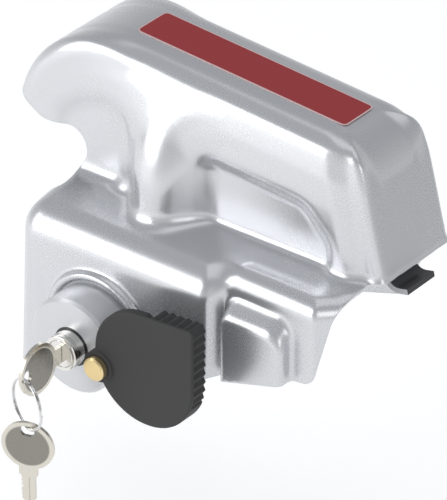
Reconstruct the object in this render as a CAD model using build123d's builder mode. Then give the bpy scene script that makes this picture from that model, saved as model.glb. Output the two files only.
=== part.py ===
"""Trailer coupler lock: a drawn steel cover that drops over a coupler and is held by a push lock.

Frame: millimetres. X runs along the coupler, towards the hook at the cover's front end. Y runs
across it, and the lock is on the -Y side. Z is up. The origin is the coupler seat: the point under
the middle of the spine, on its inner face, where the cover rests on the coupler.
"""
import os
from math import cos, radians, sin, tan

from build123d import *

# ---- cover: sheet and dome --------------------------------------------------------------------
wall = 2.5                       # sheet thickness
spine_slope = 4.3                # degrees the spine falls towards the front
dome_half_width = 36.0           # half width over the rounded side bulges
dome_edge_radius = 14.0          # rounding from the spine's top to its sides
web_half_width = 29.5            # half width over the recessed side webs
nose_x = -133.0                  # rearmost line of the nose
nose_radius = 74.0               # bend of the spine down into the nose
end_foot_x = 104.0               # foot of the front end face
end_foot_z = -73.5
end_draft = 14.2                 # degrees that the end face leans back
end_bend_radius = 22.0           # bend of the spine down into the end face
pocket_radius = 7.0              # corners of the web recesses
front_pocket_radius = 15.0       # front top corner of the front recess
front_pocket_fall = 5.0          # how far its top edge falls towards the front
front_pocket = (-8.0, 68.0, -41.0)       # x from, x to, top edge z
rear_pocket_front_x = -54.0
rear_pocket_rear_x = -104.0
rear_pocket_top_z = -31.0
rear_pocket_bend_x = -84.0       # behind this its top edge falls towards the nose
pillar_foot = (-61.0, -3.0)      # x range of the upright rib where it leaves the web
pillar_crest = (-48.0, -11.0)    # x range of its crest
pillar_depth_low = 50.0          # how far out the crest stands, up to the knee
pillar_knee_z = -38.0
pillar_depth_high = 33.0         # and at its top, near the spine
pillar_top_z = -13.0
pillar_radius = 12.0

# ---- cover: lower blocks ----------------------------------------------------------------------
shelf_z = -75.5                  # top of the lower blocks
lock_wall_y = -70.0              # outer face of the wall that carries the lock
step_wall_y = -62.0              # outer face of the wall in front of the step
far_wall_y = 50.0                # outer face of the plain far wall
block_rear_x = -101.5
step_x = 23.0                    # where the lock wall steps back
block_front_x = 94.0
shelf_radius = 11.5
block_corner_radius = 13.0
bulge = (30.0, 68.0, -91.0)      # raised pad on the stepped wall: x from, x to, top z
bulge_proud = 8.0
bulge_fall = 6.0                 # how far its top falls towards the front
bulge_corner_radius = 13.0
bulge_edge_radius = 4.0

# ---- cover: trimmed edges ---------------------------------------------------------------------
trim_z_at_step = -144.5          # height of the bottom edge below the step
trim_angle = 17.85               # degrees the bottom edge rises towards the front
near_wing_foot_x = 85.5          # where the near wing's end edge meets the bottom edge
far_wing_top_x = 84.0            # the far wing is shorter
far_wing_foot_x = 62.0
wing_corner_radius = 10.0
notch_x = -98.5                  # centre of the round end of the side notch
notch_z = -64.0
notch_radius = 12.0
nose_edge = (-114.0, -50.0)      # corner of the nose's lower edge
nose_edge_rise = 30.0            # degrees the edge rises behind that corner
mouth_x = -90.5                  # the drawbar mouth in the rear end
mouth_near_y = -48.0
mouth_far_y = 38.0

# ---- lock: places -----------------------------------------------------------------------------
lock_x = -46.0
lock_z = -135.5
boss_diameter = 54.0
boss_proud = 24.0                # from the lock wall to the boss's face
boss_chamfer = 1.5
pad_diameter = 66.0              # round raised seat of the boss in the sheet
pad_proud = 2.0
spigot_diameter = 38.0
sleeve_diameter = 32.0
plate_diameter = 58.0
plate_thickness = 3.0
screw_count = 3
screw_circle = 46.0
screw_diameter = 5.0
screw_length = 12.0
screw_head = (9.0, 3.0)          # diameter, height

# ---- lock: moving core ------------------------------------------------------------------------
running = 0.06                   # radial clearance of turning and sliding fits
loose = 0.3                      # gap between separate pieces that only pass each other
barrel_diameter = 20.0
barrel_proud = 9.0               # stands out of the boss when the lock is open
barrel_edge_radius = 0.8
ring_lines = ((2.2, 3.2), 0.4)   # fine grooves: distances from the face, width and depth
barrel_length = 42.0
push_travel = 11.0
bolt_diameter = 12.0
bolt_nose_proud = 8.0            # bolt beyond the sleeve when the lock is open
bolt_socket_depth = 8.0
bolt_chamfer = 1.2
bush_diameter = 16.0
bush_length = 8.0
bush_chamfer = 0.5
spring_wire = 1.4
spring_turns = 5
spring_side_gap = 0.5            # between the coil and the bore
spring_end_gap = 0.1
spring_room = 19.0               # from the barrel's end to the spring's seat, lock open
roll_pin_diameter = 3.0
roll_pin_bore = 1.5
roll_pin_short = 0.4             # how far each end stays inside the barrel's skin
guide_screw_diameter = 4.0       # of its dog, which runs in the barrel's slot
guide_screw_body = (6.0, 8.0)    # diameter, length
guide_screw_socket = (2.8, 2.6)  # diameter, depth
guide_screw_seat = 0.6           # from the barrel to the body's inner end
guide_screw_inset = 15.0         # from the boss's face to the screw's axis
guide_slot_depth = 2.4
guide_gap = 0.1                  # round the dog in its slot
o_ring_section = 1.6
o_ring_inset = 3.0               # from the boss's face to the middle of the ring

# ---- lock: plug -------------------------------------------------------------------------------
plug_diameter = 13.0
plug_flange = (15.5, 1.5)        # diameter, thickness
plug_edge = 0.4
plug_length = 24.0
core_cavity_diameter = 16.4
core_cavity_length = 8.0
clip_thickness = 0.8
clip_gap = 0.1
clip_rim_gap = 0.5               # between the clip and the cavity's wall
clip_mouth = 3.2
clip_neck_diameter = 9.0
stem_diameter = 4.0              # end of the plug that carries the cam
stem_length = 6.0
cam_diameter = 8.8
cam_offset = 1.0
cam_thickness = 4.0
detent_diameter = 4.0
detent_inner_r = 4.6
detent_outer_r = 9.9
detent_flange = (5.8, 0.8)       # diameter, thickness
detent_tip_radius = 0.5
detent_spring_gap = 0.15         # round the pin
detent_stroke = 1.2
detent_groove_clear = 0.6        # of the bore's grooves round the lifted pin
detent_groove_width = 5.6
wafer_count = 5
wafer_pitch = 2.8
wafer_thickness = 1.0
wafer_width = 6.0
wafer_first = 3.2                # from the plug's face to the first wafer
wafer_span = (-4.6, 5.6)         # lowest and highest from the lock's axis
wafer_gap = 0.1                  # beside the wafers in the plug
wafer_room = 1.6                 # depth of the barrel's grooves for them
leaf_thickness = 0.25
leaf_half_span = 2.2
leaf_arch = 1.05

# ---- keys and ring ----------------------------------------------------------------------------
key_thickness = 2.0
key_blade_height = 7.6
key_blade_length = 16.0
key_neck = (10.0, 4.0)           # height and length of the shoulder outside the plug
bow_length = 28.0
bow_width = 29.0
bow_hole = (8.0, 6.0)            # across and along the key
bow_hole_inset = 5.0             # hole centre from the bow's end
keyway_gap = 0.2
key_tip_cut = 2.4                # square set on its corner at each side of the tip
key_neck_under_bow = 3.0         # how far the neck runs in under the bow
key_cut = (2.2, 1.2, 0.8)        # first cut from the shoulder, least size, step between sizes
key_groove = (1.2, 0.5, -1.0)    # width, depth, place across the blade
ring_diameter = 28.0             # to the middle of the wire
ring_wire = 1.2
ring_coil_step = 0.72            # between the middles of the split ring's two turns
ring_turn = -20.0                # degrees about Z that the ring's plane is turned from XZ
spare_turn = 18.0                # and the spare key's
hang_gap = 0.5

# ---- dust cap ---------------------------------------------------------------------------------
cap_pin_reach = 23.0             # from the lock's axis to the cap's pivot
cap_shift = (28.2, 7.5)          # cap disc's centre from the pivot, X and Z
cap_radius = 31.4
cap_corner = (60.5, 43.0)        # square corner from the pivot, X and Z
cap_corner_foot = (59.6, 7.5)    # where the straight right side runs into the disc
cap_flat_start = (25.0, 40.2)    # where the straight top edge leaves the disc
cap_thickness = 5.2
cap_gap = 0.3                    # behind the cap
grip_depth = 12.0                # the grip reaches this far back from the cap's face
grip_clear_radius = 51.5         # grip starts this far from the pivot, to pass the boss
groove_count = 7
groove_radius = 1.5
groove_pitch = 5.0
groove_top = 4.0                 # from the cap's corner to the first groove
groove_inset = 0.5               # of the grooves' middles beyond the cap's side
hub_diameter = 18.0
hub_proud = 1.4
pin_head = (13.0, 3.6)           # diameter, height
pin_head_chamfer = 0.8
pin_shank_diameter = 6.0
pin_shank_depth = 12.0
washer_thickness = 0.5
washer_gap = 0.05                # on each side of the washer
washer_rim = 0.3                 # how far the pin's head covers it
seal_diameter = 25.0
seal_thickness = 1.3
seal_gap = 0.1                   # round the pad in its recess

# ---- front hook and label ---------------------------------------------------------------------
hook_thickness = 3.0
hook_y = (-21.5, 1.5)
hook_leg = 30.0
hook_bend_radius = 7.5
hook_lip_rise = 12.0             # degrees
hook_lip_length = 5.0
label_size = (134.0, 25.0)
label_thickness = 0.3
label_radius = 3.0

# ---- places worked out from the values above --------------------------------------------------
spine_top = wall / cos(radians(spine_slope))
boss_face_y = lock_wall_y - boss_proud
pad_face_y = lock_wall_y - pad_proud
pad_back_y = pad_face_y + wall
barrel_face_y = boss_face_y - barrel_proud
barrel_back_y = barrel_face_y + barrel_length
guide_screw_y = boss_face_y + guide_screw_inset
spring_seat_y = barrel_back_y + spring_room
sleeve_end_y = spring_seat_y + bush_length
bolt_nose_y = sleeve_end_y + bolt_nose_proud
plug_back_y = barrel_face_y + plug_length
cam_front_y = plug_back_y + clip_thickness + 2 * clip_gap
detent_y = cam_front_y + 0.75 * cam_thickness
cap_pin_x = lock_x + cap_pin_reach
cap_back_y = boss_face_y - cap_gap
cap_face_y = cap_back_y - cap_thickness
hub_face_y = cap_face_y - hub_proud
form_floor_z = -230.0            # below every trimmed edge
form_over = 20.0                 # how far a cutting form runs past the sheet


def spine_z(x):
    """Height of the spine's top face at x."""
    return spine_top - x * tan(radians(spine_slope))


def trim_z(x):
    """Height of the bottom edge at x."""
    return trim_z_at_step + (x - step_x) * tan(radians(trim_angle))


def across(y, x=lock_x, z=lock_z):
    """Plane across the lock's axis at y: its local Z is +Y, its local X is +X, its local Y is -Z."""
    return Plane(origin=(x, y, z), x_dir=(1, 0, 0), z_dir=(0, 1, 0))


def round_corner(sketch, place, radius):
    """Fillet the corner of a side view nearest to place."""
    corner = sketch.vertices().sort_by_distance((place[0], place[1], 0))[0]
    fillet(corner, radius=radius)


def disc(diameter, y, length, bore=0.0, x=lock_x, z=lock_z):
    """A plain disc or ring on an axis along Y, from y to y + length."""
    with BuildPart() as piece:
        with BuildSketch(across(y, x, z)):
            Circle(diameter / 2)
            if bore:
                Circle(bore / 2, mode=Mode.SUBTRACT)
        extrude(amount=length)
    return piece.part


def slab(low, high):
    """A box between two corners."""
    size = [b - a for a, b in zip(low, high)]
    middle = [(a + b) / 2 for a, b in zip(low, high)]
    return Pos(*middle) * Box(*size, mode=Mode.PRIVATE)


# ---- cover ------------------------------------------------------------------------------------
def dome_form(inset):
    """Solid inside the dome's sheet, its faces moved in by inset."""
    end_top_x = end_foot_x - (spine_z(end_foot_x) - end_foot_z) * tan(radians(end_draft))
    low_z = shelf_z - form_over
    low_x = end_foot_x + (end_foot_z - low_z) * tan(radians(end_draft))
    with BuildPart() as form:
        with BuildSketch(Plane.XZ) as side:
            with BuildLine():
                Polyline(
                    (nose_x, low_z), (nose_x, spine_z(nose_x)),
                    (end_top_x, spine_z(end_top_x)), (low_x, low_z), close=True,
                )
            make_face()
            round_corner(side, (nose_x, spine_z(nose_x)), nose_radius)
            round_corner(side, (end_top_x, spine_z(end_top_x)), end_bend_radius)
            if inset:
                offset(amount=-inset, kind=Kind.INTERSECTION, mode=Mode.REPLACE)
        extrude(amount=dome_half_width - inset, both=True)
        rims = [
            edge for face in (form.faces().sort_by(Axis.Y)[0], form.faces().sort_by(Axis.Y)[-1])
            for edge in face.edges() if edge.center().Z > low_z + form_over / 2
        ]
        fillet(rims, radius=dome_edge_radius - inset)
        for side_sign in (-1, 1):
            face_y = side_sign * (web_half_width - inset)
            with BuildSketch(Plane.XZ.offset(-face_y)) as front_recess:
                x_from, x_to, top = front_pocket
                with BuildLine():
                    Polyline(
                        (x_from - inset, low_z - form_over), (x_from - inset, top + inset),
                        (x_to + inset, top - front_pocket_fall + inset),
                        (x_to + inset, low_z - form_over),
                        close=True,
                    )
                make_face()
                round_corner(front_recess, (x_from - inset, top + inset), pocket_radius + inset)
                round_corner(front_recess, (x_to + inset, top - front_pocket_fall + inset),
                             front_pocket_radius + inset)
            extrude(amount=-side_sign * dome_half_width, mode=Mode.SUBTRACT)
            with BuildSketch(Plane.XZ.offset(-face_y)) as rear_recess:
                with BuildLine():
                    Polyline(
                        (rear_pocket_rear_x - inset, low_z - form_over),
                        (rear_pocket_rear_x - inset, rear_pocket_top_z - notch_radius),
                        (rear_pocket_bend_x, rear_pocket_top_z + inset),
                        (rear_pocket_front_x + inset, rear_pocket_top_z + inset),
                        (rear_pocket_front_x + inset, low_z - form_over),
                        close=True,
                    )
                make_face()
                tops = rear_recess.vertices().sort_by(Axis.Y)[-2:]
                fillet(tops, radius=pocket_radius + inset)
            extrude(amount=-side_sign * dome_half_width, mode=Mode.SUBTRACT)
    return form.part


def pillar_form(inset):
    """The upright rib on each side of the dome, as one solid through it."""
    with BuildPart() as form:
        for z, depth in (
            (shelf_z - form_over, pillar_depth_low),
            (pillar_knee_z, pillar_depth_low),
            (pillar_top_z - inset, pillar_depth_high),
        ):
            with BuildSketch(Plane.XY.offset(z)) as plan:
                reach = depth - inset
                root = web_half_width - form_over / 2
                rear, front = pillar_foot[0] + inset, pillar_foot[1] - inset
                crest_rear, crest_front = pillar_crest[0] + inset / 2, pillar_crest[1] - inset / 2
                with BuildLine():
                    Polyline(
                        (rear, -root), (crest_rear, -reach), (crest_front, -reach), (front, -root),
                        (front, root), (crest_front, reach), (crest_rear, reach), (rear, root),
                        close=True,
                    )
                make_face()
                crests = [v for v in plan.vertices() if abs(v.Y) > reach - 0.01]
                fillet(crests, radius=pillar_radius - inset)
        loft(ruled=True)
    return form.part


def block_form(inset):
    """Solid inside the two lower blocks, the raised pad and the boss's seat."""
    open_end = form_over if inset else 0.0
    top = shelf_z - inset
    rounding = shelf_radius - inset
    with BuildPart() as lock_block:
        with BuildSketch(Plane.XY.offset(form_floor_z)):
            with Locations(((block_rear_x + step_x) / 2, (lock_wall_y + far_wall_y) / 2)):
                Rectangle(step_x - block_rear_x - 2 * inset, far_wall_y - lock_wall_y - 2 * inset)
        extrude(amount=top - form_floor_z)
        fillet(lock_block.edges().filter_by(Axis.Z), radius=block_corner_radius - inset)
        fillet(lock_block.faces().sort_by(Axis.Z)[-1].edges(), radius=rounding)
    with BuildPart() as step_block:
        x_from = step_x - form_over
        x_to = block_front_x + open_end
        with BuildSketch(Plane.XY.offset(form_floor_z)):
            with Locations(((x_from + x_to) / 2, (step_wall_y + far_wall_y) / 2)):
                Rectangle(x_to - x_from, far_wall_y - step_wall_y - 2 * inset)
        extrude(amount=top - form_floor_z)
        long_edges = step_block.faces().sort_by(Axis.Z)[-1].edges().filter_by(Axis.X)
        fillet(long_edges, radius=rounding)
    with BuildPart() as pad:
        bulge_from, bulge_to, bulge_top = bulge
        with BuildSketch(Plane.XZ.offset(-(step_wall_y - bulge_proud + inset))) as front:
            with BuildLine():
                Polyline(
                    (bulge_from + inset, form_floor_z), (bulge_from + inset, bulge_top - inset),
                    (bulge_to - inset, bulge_top - bulge_fall - inset), (bulge_to - inset, form_floor_z),
                    close=True,
                )
            make_face()
            fillet(front.vertices().sort_by(Axis.Y)[2:], radius=bulge_corner_radius - inset)
        extrude(amount=-(bulge_proud + form_over))
        rim = pad.faces().sort_by(Axis.Y)[0].edges()
        fillet([e for e in rim if e.center().Z > form_floor_z + 1], radius=bulge_edge_radius - inset)
    with BuildPart() as form:
        add(lock_block.part)
        add(step_block.part)
        add(pad.part)
        add(disc(pad_diameter - 2 * inset, pad_face_y + inset, pad_proud + form_over))
    return form.part


def keep_form(wing_top_x, wing_foot_x, y_from, y_to):
    """Everything the trimmed edges keep of one side, as an extruded side view."""
    high_z = nose_radius
    rear_x = nose_x - form_over
    front_x = end_foot_x + form_over
    rise = tan(radians(nose_edge_rise))
    with BuildPart() as form:
        with BuildSketch(Plane.XZ.offset(-y_from)) as side:
            with BuildLine():
                Polyline(
                    (rear_x, high_z), (front_x, high_z), (front_x, end_foot_z),
                    (wing_top_x, end_foot_z), (wing_foot_x, trim_z(wing_foot_x)),
                    (rear_x, trim_z(rear_x)), (rear_x, notch_z - notch_radius),
                    (notch_x, notch_z - notch_radius), (notch_x, notch_z + notch_radius),
                    nose_edge, (rear_x, nose_edge[1] + (nose_edge[0] - rear_x) * rise),
                    close=True,
                )
            make_face()
            round_corner(side, (wing_foot_x, trim_z(wing_foot_x)), wing_corner_radius)
            with Locations((notch_x, notch_z)):
                Circle(notch_radius, mode=Mode.SUBTRACT)
        extrude(amount=-(y_to - y_from))
    return form.part


outer_forms = [dome_form(0.0), pillar_form(0.0), block_form(0.0)]
inner_forms = [dome_form(wall), pillar_form(wall), block_form(wall)]
near_side = keep_form(block_front_x, near_wing_foot_x, lock_wall_y - form_over, 0.0)
far_side = keep_form(far_wing_top_x, far_wing_foot_x, 0.0, far_wall_y + form_over)
mouth = slab(
    (nose_x - form_over, mouth_near_y, form_floor_z - 1),
    (mouth_x, mouth_far_y, notch_z + notch_radius),
)
with BuildPart() as shell:
    for form in outer_forms:
        add(form)
    for form in inner_forms:
        add(form, mode=Mode.SUBTRACT)
    add(near_side + far_side, mode=Mode.INTERSECT)
    add(mouth, mode=Mode.SUBTRACT)
    add(disc(spigot_diameter + 2 * running, pad_face_y - 1, wall + 2), mode=Mode.SUBTRACT)
    with Locations(across(pad_face_y - 1)):
        with PolarLocations(screw_circle / 2, screw_count, start_angle=-90):
            Hole(screw_diameter / 2 + loose, depth=wall + 2)
shell.part.label = "shell"


# ---- lock housing -----------------------------------------------------------------------------
with BuildPart() as lock_housing:
    add(disc(boss_diameter, boss_face_y, pad_face_y - boss_face_y))
    chamfer(lock_housing.faces().sort_by(Axis.Y)[0].edges(), length=boss_chamfer)
    add(disc(spigot_diameter, pad_face_y, wall + plate_thickness))
    add(disc(sleeve_diameter, pad_face_y, sleeve_end_y - pad_face_y))
    add(disc(barrel_diameter + 2 * running, boss_face_y, spring_seat_y - boss_face_y),
        mode=Mode.SUBTRACT)
    add(disc(bush_diameter, spring_seat_y, bush_length), mode=Mode.SUBTRACT)
    add(disc(barrel_diameter + 2 * o_ring_section, boss_face_y + o_ring_inset - o_ring_section / 2,
             o_ring_section), mode=Mode.SUBTRACT)
    for detent_place in (detent_y, detent_y + push_travel):
        groove_diameter = 2 * (detent_outer_r + detent_stroke + detent_groove_clear)
        add(disc(groove_diameter, detent_place - detent_groove_width / 2, detent_groove_width),
            mode=Mode.SUBTRACT)
    with Locations(across(pad_face_y - screw_length + wall + plate_thickness)):
        with PolarLocations(screw_circle / 2, screw_count, start_angle=-90):
            Cylinder(screw_diameter / 2, screw_length, align=(Align.CENTER, Align.CENTER, Align.MIN),
                     mode=Mode.SUBTRACT)
    add(disc(pin_shank_diameter, boss_face_y, pin_shank_depth, x=cap_pin_x), mode=Mode.SUBTRACT)
    with Locations(Plane(origin=(lock_x, guide_screw_y, lock_z), z_dir=(-1, 0, 0))):
        Cylinder(guide_screw_body[0] / 2, boss_diameter / 2,
                 align=(Align.CENTER, Align.CENTER, Align.MIN), mode=Mode.SUBTRACT)
lock_housing.part.label = "lock_housing"

with BuildPart() as backing_plate:
    add(disc(plate_diameter, pad_back_y, plate_thickness, bore=spigot_diameter + 2 * running))
    with Locations(across(pad_back_y)):
        with PolarLocations(screw_circle / 2, screw_count, start_angle=-90):
            Hole(screw_diameter / 2 + loose, depth=plate_thickness)
backing_plate.part.label = "backing_plate"

with BuildPart() as housing_screws:
    head_diameter, head_height = screw_head
    screw_seat_y = pad_back_y + plate_thickness
    with Locations(across(screw_seat_y - screw_length)):
        with PolarLocations(screw_circle / 2, screw_count, start_angle=-90):
            Cylinder(screw_diameter / 2, screw_length + head_height,
                     align=(Align.CENTER, Align.CENTER, Align.MIN))
    with Locations(across(screw_seat_y)):
        with PolarLocations(screw_circle / 2, screw_count, start_angle=-90):
            Cylinder(head_diameter / 2, head_height, align=(Align.CENTER, Align.CENTER, Align.MIN))
    with Locations(across(screw_seat_y + head_height / 2)):
        with PolarLocations(screw_circle / 2, screw_count, start_angle=-90):
            with BuildSketch(mode=Mode.PRIVATE) as socket:
                RegularPolygon(screw_diameter / 2, 6)
            add(extrude(socket.sketch, amount=head_height, mode=Mode.PRIVATE), mode=Mode.SUBTRACT)
housing_screws.part.label = "housing_screws"

with BuildPart() as guide_bush:
    add(disc(bush_diameter, spring_seat_y, bush_length, bore=bolt_diameter + 2 * running))
    chamfer(guide_bush.faces().sort_by(Axis.Y)[-1].edges(), length=bush_chamfer)
guide_bush.part.label = "guide_bush"

with BuildPart() as barrel_o_ring:
    ring_y = boss_face_y + o_ring_inset
    with BuildSketch(Plane.XY.offset(lock_z)):
        with Locations((lock_x + barrel_diameter / 2 + running + o_ring_section / 2, ring_y)):
            Circle(o_ring_section / 2 - running)
    revolve(axis=Axis((lock_x, 0, lock_z), (0, 1, 0)))
barrel_o_ring.part.label = "barrel_o_ring"

with BuildPart() as guide_screw:
    dog_tip = barrel_diameter / 2 - guide_slot_depth + loose
    body_from = barrel_diameter / 2 + guide_screw_seat
    socket_from = body_from + guide_screw_body[1] - guide_screw_socket[1]
    for start, radius, length, mode in (
        (dog_tip, guide_screw_diameter / 2, body_from - dog_tip, Mode.ADD),
        (body_from, guide_screw_body[0] / 2, guide_screw_body[1], Mode.ADD),
        (socket_from, guide_screw_socket[0] / 2, guide_screw_socket[1], Mode.SUBTRACT),
    ):
        with Locations(Plane(origin=(lock_x - start, guide_screw_y, lock_z), z_dir=(-1, 0, 0))):
            Cylinder(radius, length, align=(Align.CENTER, Align.CENTER, Align.MIN), mode=mode)
guide_screw.part.label = "guide_screw"


# ---- sliding barrel and bolt ------------------------------------------------------------------
with BuildPart() as lock_barrel:
    add(disc(barrel_diameter, barrel_face_y, barrel_length))
    fillet(lock_barrel.faces().sort_by(Axis.Y)[0].edges(), radius=barrel_edge_radius)
    add(disc(plug_flange[0] + 2 * running, barrel_face_y, plug_flange[1] + running),
        mode=Mode.SUBTRACT)
    add(disc(plug_diameter + 2 * running, barrel_face_y, plug_length), mode=Mode.SUBTRACT)
    add(disc(core_cavity_diameter, plug_back_y, core_cavity_length), mode=Mode.SUBTRACT)
    add(disc(bolt_diameter, barrel_back_y - bolt_socket_depth, bolt_socket_depth),
        mode=Mode.SUBTRACT)
    wafer_rows = (wafer_count - 1) * wafer_pitch + 2 * wafer_thickness
    groove_half = plug_diameter / 2 + wafer_room
    row_from = barrel_face_y + wafer_first - wafer_thickness / 2
    add(slab((lock_x - wafer_width / 2 - loose, row_from, lock_z - groove_half),
             (lock_x + wafer_width / 2 + loose, row_from + wafer_rows, lock_z + groove_half)),
        mode=Mode.SUBTRACT)
    slot_half = guide_screw_diameter / 2 + guide_gap
    slot_end = guide_screw_y + slot_half
    slot_from = slot_end - 2 * slot_half - push_travel
    add(slab((lock_x - barrel_diameter, slot_from, lock_z - slot_half),
             (lock_x - barrel_diameter / 2 + guide_slot_depth, slot_end, lock_z + slot_half)),
        mode=Mode.SUBTRACT)
    with Locations((lock_x, detent_y, lock_z)):
        Cylinder(detent_diameter / 2 + running, barrel_diameter / 2 + 1,
                 align=(Align.CENTER, Align.CENTER, Align.MIN), mode=Mode.SUBTRACT)
    with Locations(Plane(origin=(lock_x, barrel_back_y - bolt_socket_depth / 2, lock_z),
                         z_dir=(1, 0, 0))):
        Cylinder(roll_pin_diameter / 2, barrel_diameter + 2, mode=Mode.SUBTRACT)
    line_steps, line_width = ring_lines
    for step in line_steps:
        add(disc(barrel_diameter + 1, barrel_face_y + step, line_width,
                 bore=barrel_diameter - 2 * line_width), mode=Mode.SUBTRACT)
lock_barrel.part.label = "lock_barrel"

with BuildPart() as locking_bolt:
    bolt_from = barrel_back_y - bolt_socket_depth
    add(disc(bolt_diameter, bolt_from, bolt_nose_y - bolt_from))
    chamfer(locking_bolt.faces().sort_by(Axis.Y)[-1].edges(), length=bolt_chamfer)
    with Locations(Plane(origin=(lock_x, barrel_back_y - bolt_socket_depth / 2, lock_z),
                         z_dir=(1, 0, 0))):
        Cylinder(roll_pin_diameter / 2, bolt_diameter + 2, mode=Mode.SUBTRACT)
locking_bolt.part.label = "locking_bolt"

with BuildPart() as bolt_roll_pin:
    with Locations(Plane(origin=(lock_x, barrel_back_y - bolt_socket_depth / 2, lock_z),
                         z_dir=(1, 0, 0))):
        Cylinder(roll_pin_diameter / 2, barrel_diameter - 2 * roll_pin_short)
        Cylinder(roll_pin_bore / 2, barrel_diameter, mode=Mode.SUBTRACT)
bolt_roll_pin.part.label = "bolt_roll_pin"

with BuildPart() as return_spring:
    spring_length = spring_room - spring_wire - 2 * spring_end_gap
    spring_pitch = spring_length / spring_turns
    spring_radius = barrel_diameter / 2 - spring_wire / 2 - spring_side_gap
    with BuildLine():
        coil = Helix(spring_pitch, spring_length, spring_radius, direction=(0, 1, 0),
                     center=(lock_x, barrel_back_y + spring_end_gap + spring_wire / 2, lock_z))
    with BuildSketch(Plane(origin=coil @ 0, z_dir=coil % 0)):
        Circle(spring_wire / 2)
    sweep(path=coil, is_frenet=True)
return_spring.part.label = "return_spring"


# ---- plug, wafers and detent ------------------------------------------------------------------
with BuildPart() as lock_plug:
    add(disc(plug_diameter, barrel_face_y, plug_length))
    add(disc(plug_flange[0], barrel_face_y, plug_flange[1]))
    chamfer(lock_plug.faces().sort_by(Axis.Y)[0].edges(), length=plug_edge)
    add(disc(clip_neck_diameter, plug_back_y, clip_thickness + 2 * clip_gap))
    add(disc(stem_diameter, plug_back_y, stem_length))
    add(slab((lock_x - key_thickness / 2 - keyway_gap, barrel_face_y - 1,
              lock_z - key_blade_height / 2 - keyway_gap),
             (lock_x + key_thickness / 2 + keyway_gap,
              barrel_face_y + key_blade_length + 2 * keyway_gap,
              lock_z + key_blade_height / 2 + keyway_gap)), mode=Mode.SUBTRACT)
    for row in range(wafer_count):
        slot_y = barrel_face_y + wafer_first + row * wafer_pitch
        slot_half = wafer_thickness / 2 + wafer_gap / 2
        add(slab((lock_x - wafer_width / 2 - wafer_gap, slot_y - slot_half, lock_z - plug_diameter),
                 (lock_x + wafer_width / 2 + wafer_gap, slot_y + slot_half, lock_z + plug_diameter)),
            mode=Mode.SUBTRACT)
lock_plug.part.label = "lock_plug"

with BuildPart() as wafers:
    wafer_foot, wafer_top = wafer_span
    for row in range(wafer_count):
        front_y = barrel_face_y + wafer_first + row * wafer_pitch - wafer_thickness / 2
        add(slab((lock_x - wafer_width / 2, front_y, lock_z + wafer_foot),
                 (lock_x + wafer_width / 2, front_y + wafer_thickness, lock_z + wafer_top)))
        add(slab((lock_x - key_thickness / 2 - keyway_gap, front_y - 1,
                  lock_z - key_blade_height / 2 - keyway_gap),
                 (lock_x + key_thickness / 2 + keyway_gap, front_y + wafer_thickness + 1,
                  lock_z + key_blade_height / 2 + keyway_gap)), mode=Mode.SUBTRACT)
wafers.part.label = "wafers"

with BuildPart() as wafer_springs:
    leaf_middle_z = lock_z + wafer_span[0] - leaf_thickness / 2 - wafer_gap / 2
    for row in range(wafer_count):
        front_y = barrel_face_y + wafer_first + row * wafer_pitch - wafer_thickness / 2 + wafer_gap
        with BuildSketch(Plane.XZ.offset(-front_y)):
            with BuildLine():
                ThreePointArc(
                    (lock_x - leaf_half_span, leaf_middle_z - leaf_arch),
                    (lock_x, leaf_middle_z),
                    (lock_x + leaf_half_span, leaf_middle_z - leaf_arch),
                )
            trace(line_width=leaf_thickness)
        extrude(amount=-(wafer_thickness - 2 * wafer_gap))
wafer_springs.part.label = "wafer_springs"

with BuildPart() as plug_clip:
    clip_y = plug_back_y + clip_gap
    add(disc(core_cavity_diameter - 2 * clip_rim_gap, clip_y, clip_thickness,
             bore=clip_neck_diameter))
    add(slab((lock_x - clip_mouth / 2, clip_y - 1, lock_z - plug_diameter),
             (lock_x + clip_mouth / 2, clip_y + clip_thickness + 1, lock_z)), mode=Mode.SUBTRACT)
plug_clip.part.label = "plug_clip"

with BuildPart() as driver_cam:
    add(disc(cam_diameter, cam_front_y, cam_thickness, x=lock_x + cam_offset))
    add(disc(stem_diameter, cam_front_y - 1, cam_thickness + 2), mode=Mode.SUBTRACT)
driver_cam.part.label = "driver_cam"

with BuildPart() as detent_pin:
    with Locations((lock_x, detent_y, lock_z + detent_inner_r)):
        Cylinder(detent_diameter / 2, detent_outer_r - detent_inner_r,
                 align=(Align.CENTER, Align.CENTER, Align.MIN))
        Cylinder(detent_flange[0] / 2, detent_flange[1],
                 align=(Align.CENTER, Align.CENTER, Align.MIN))
    fillet(detent_pin.faces().sort_by(Axis.Z)[-1].edges(), radius=detent_tip_radius)
detent_pin.part.label = "detent_pin"

with BuildPart() as detent_spring:
    spring_foot_r = detent_inner_r + detent_flange[1] + detent_spring_gap / 2
    cavity_wall_r = ((core_cavity_diameter / 2) ** 2 - (detent_flange[0] / 2) ** 2) ** 0.5
    spring_height = cavity_wall_r - detent_spring_gap - spring_foot_r
    with Locations((lock_x, detent_y, lock_z + spring_foot_r)):
        Cylinder(detent_flange[0] / 2, spring_height,
                 align=(Align.CENTER, Align.CENTER, Align.MIN))
        Cylinder(detent_diameter / 2 + detent_spring_gap, spring_height,
                 align=(Align.CENTER, Align.CENTER, Align.MIN), mode=Mode.SUBTRACT)
detent_spring.part.label = "detent_spring"


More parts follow.
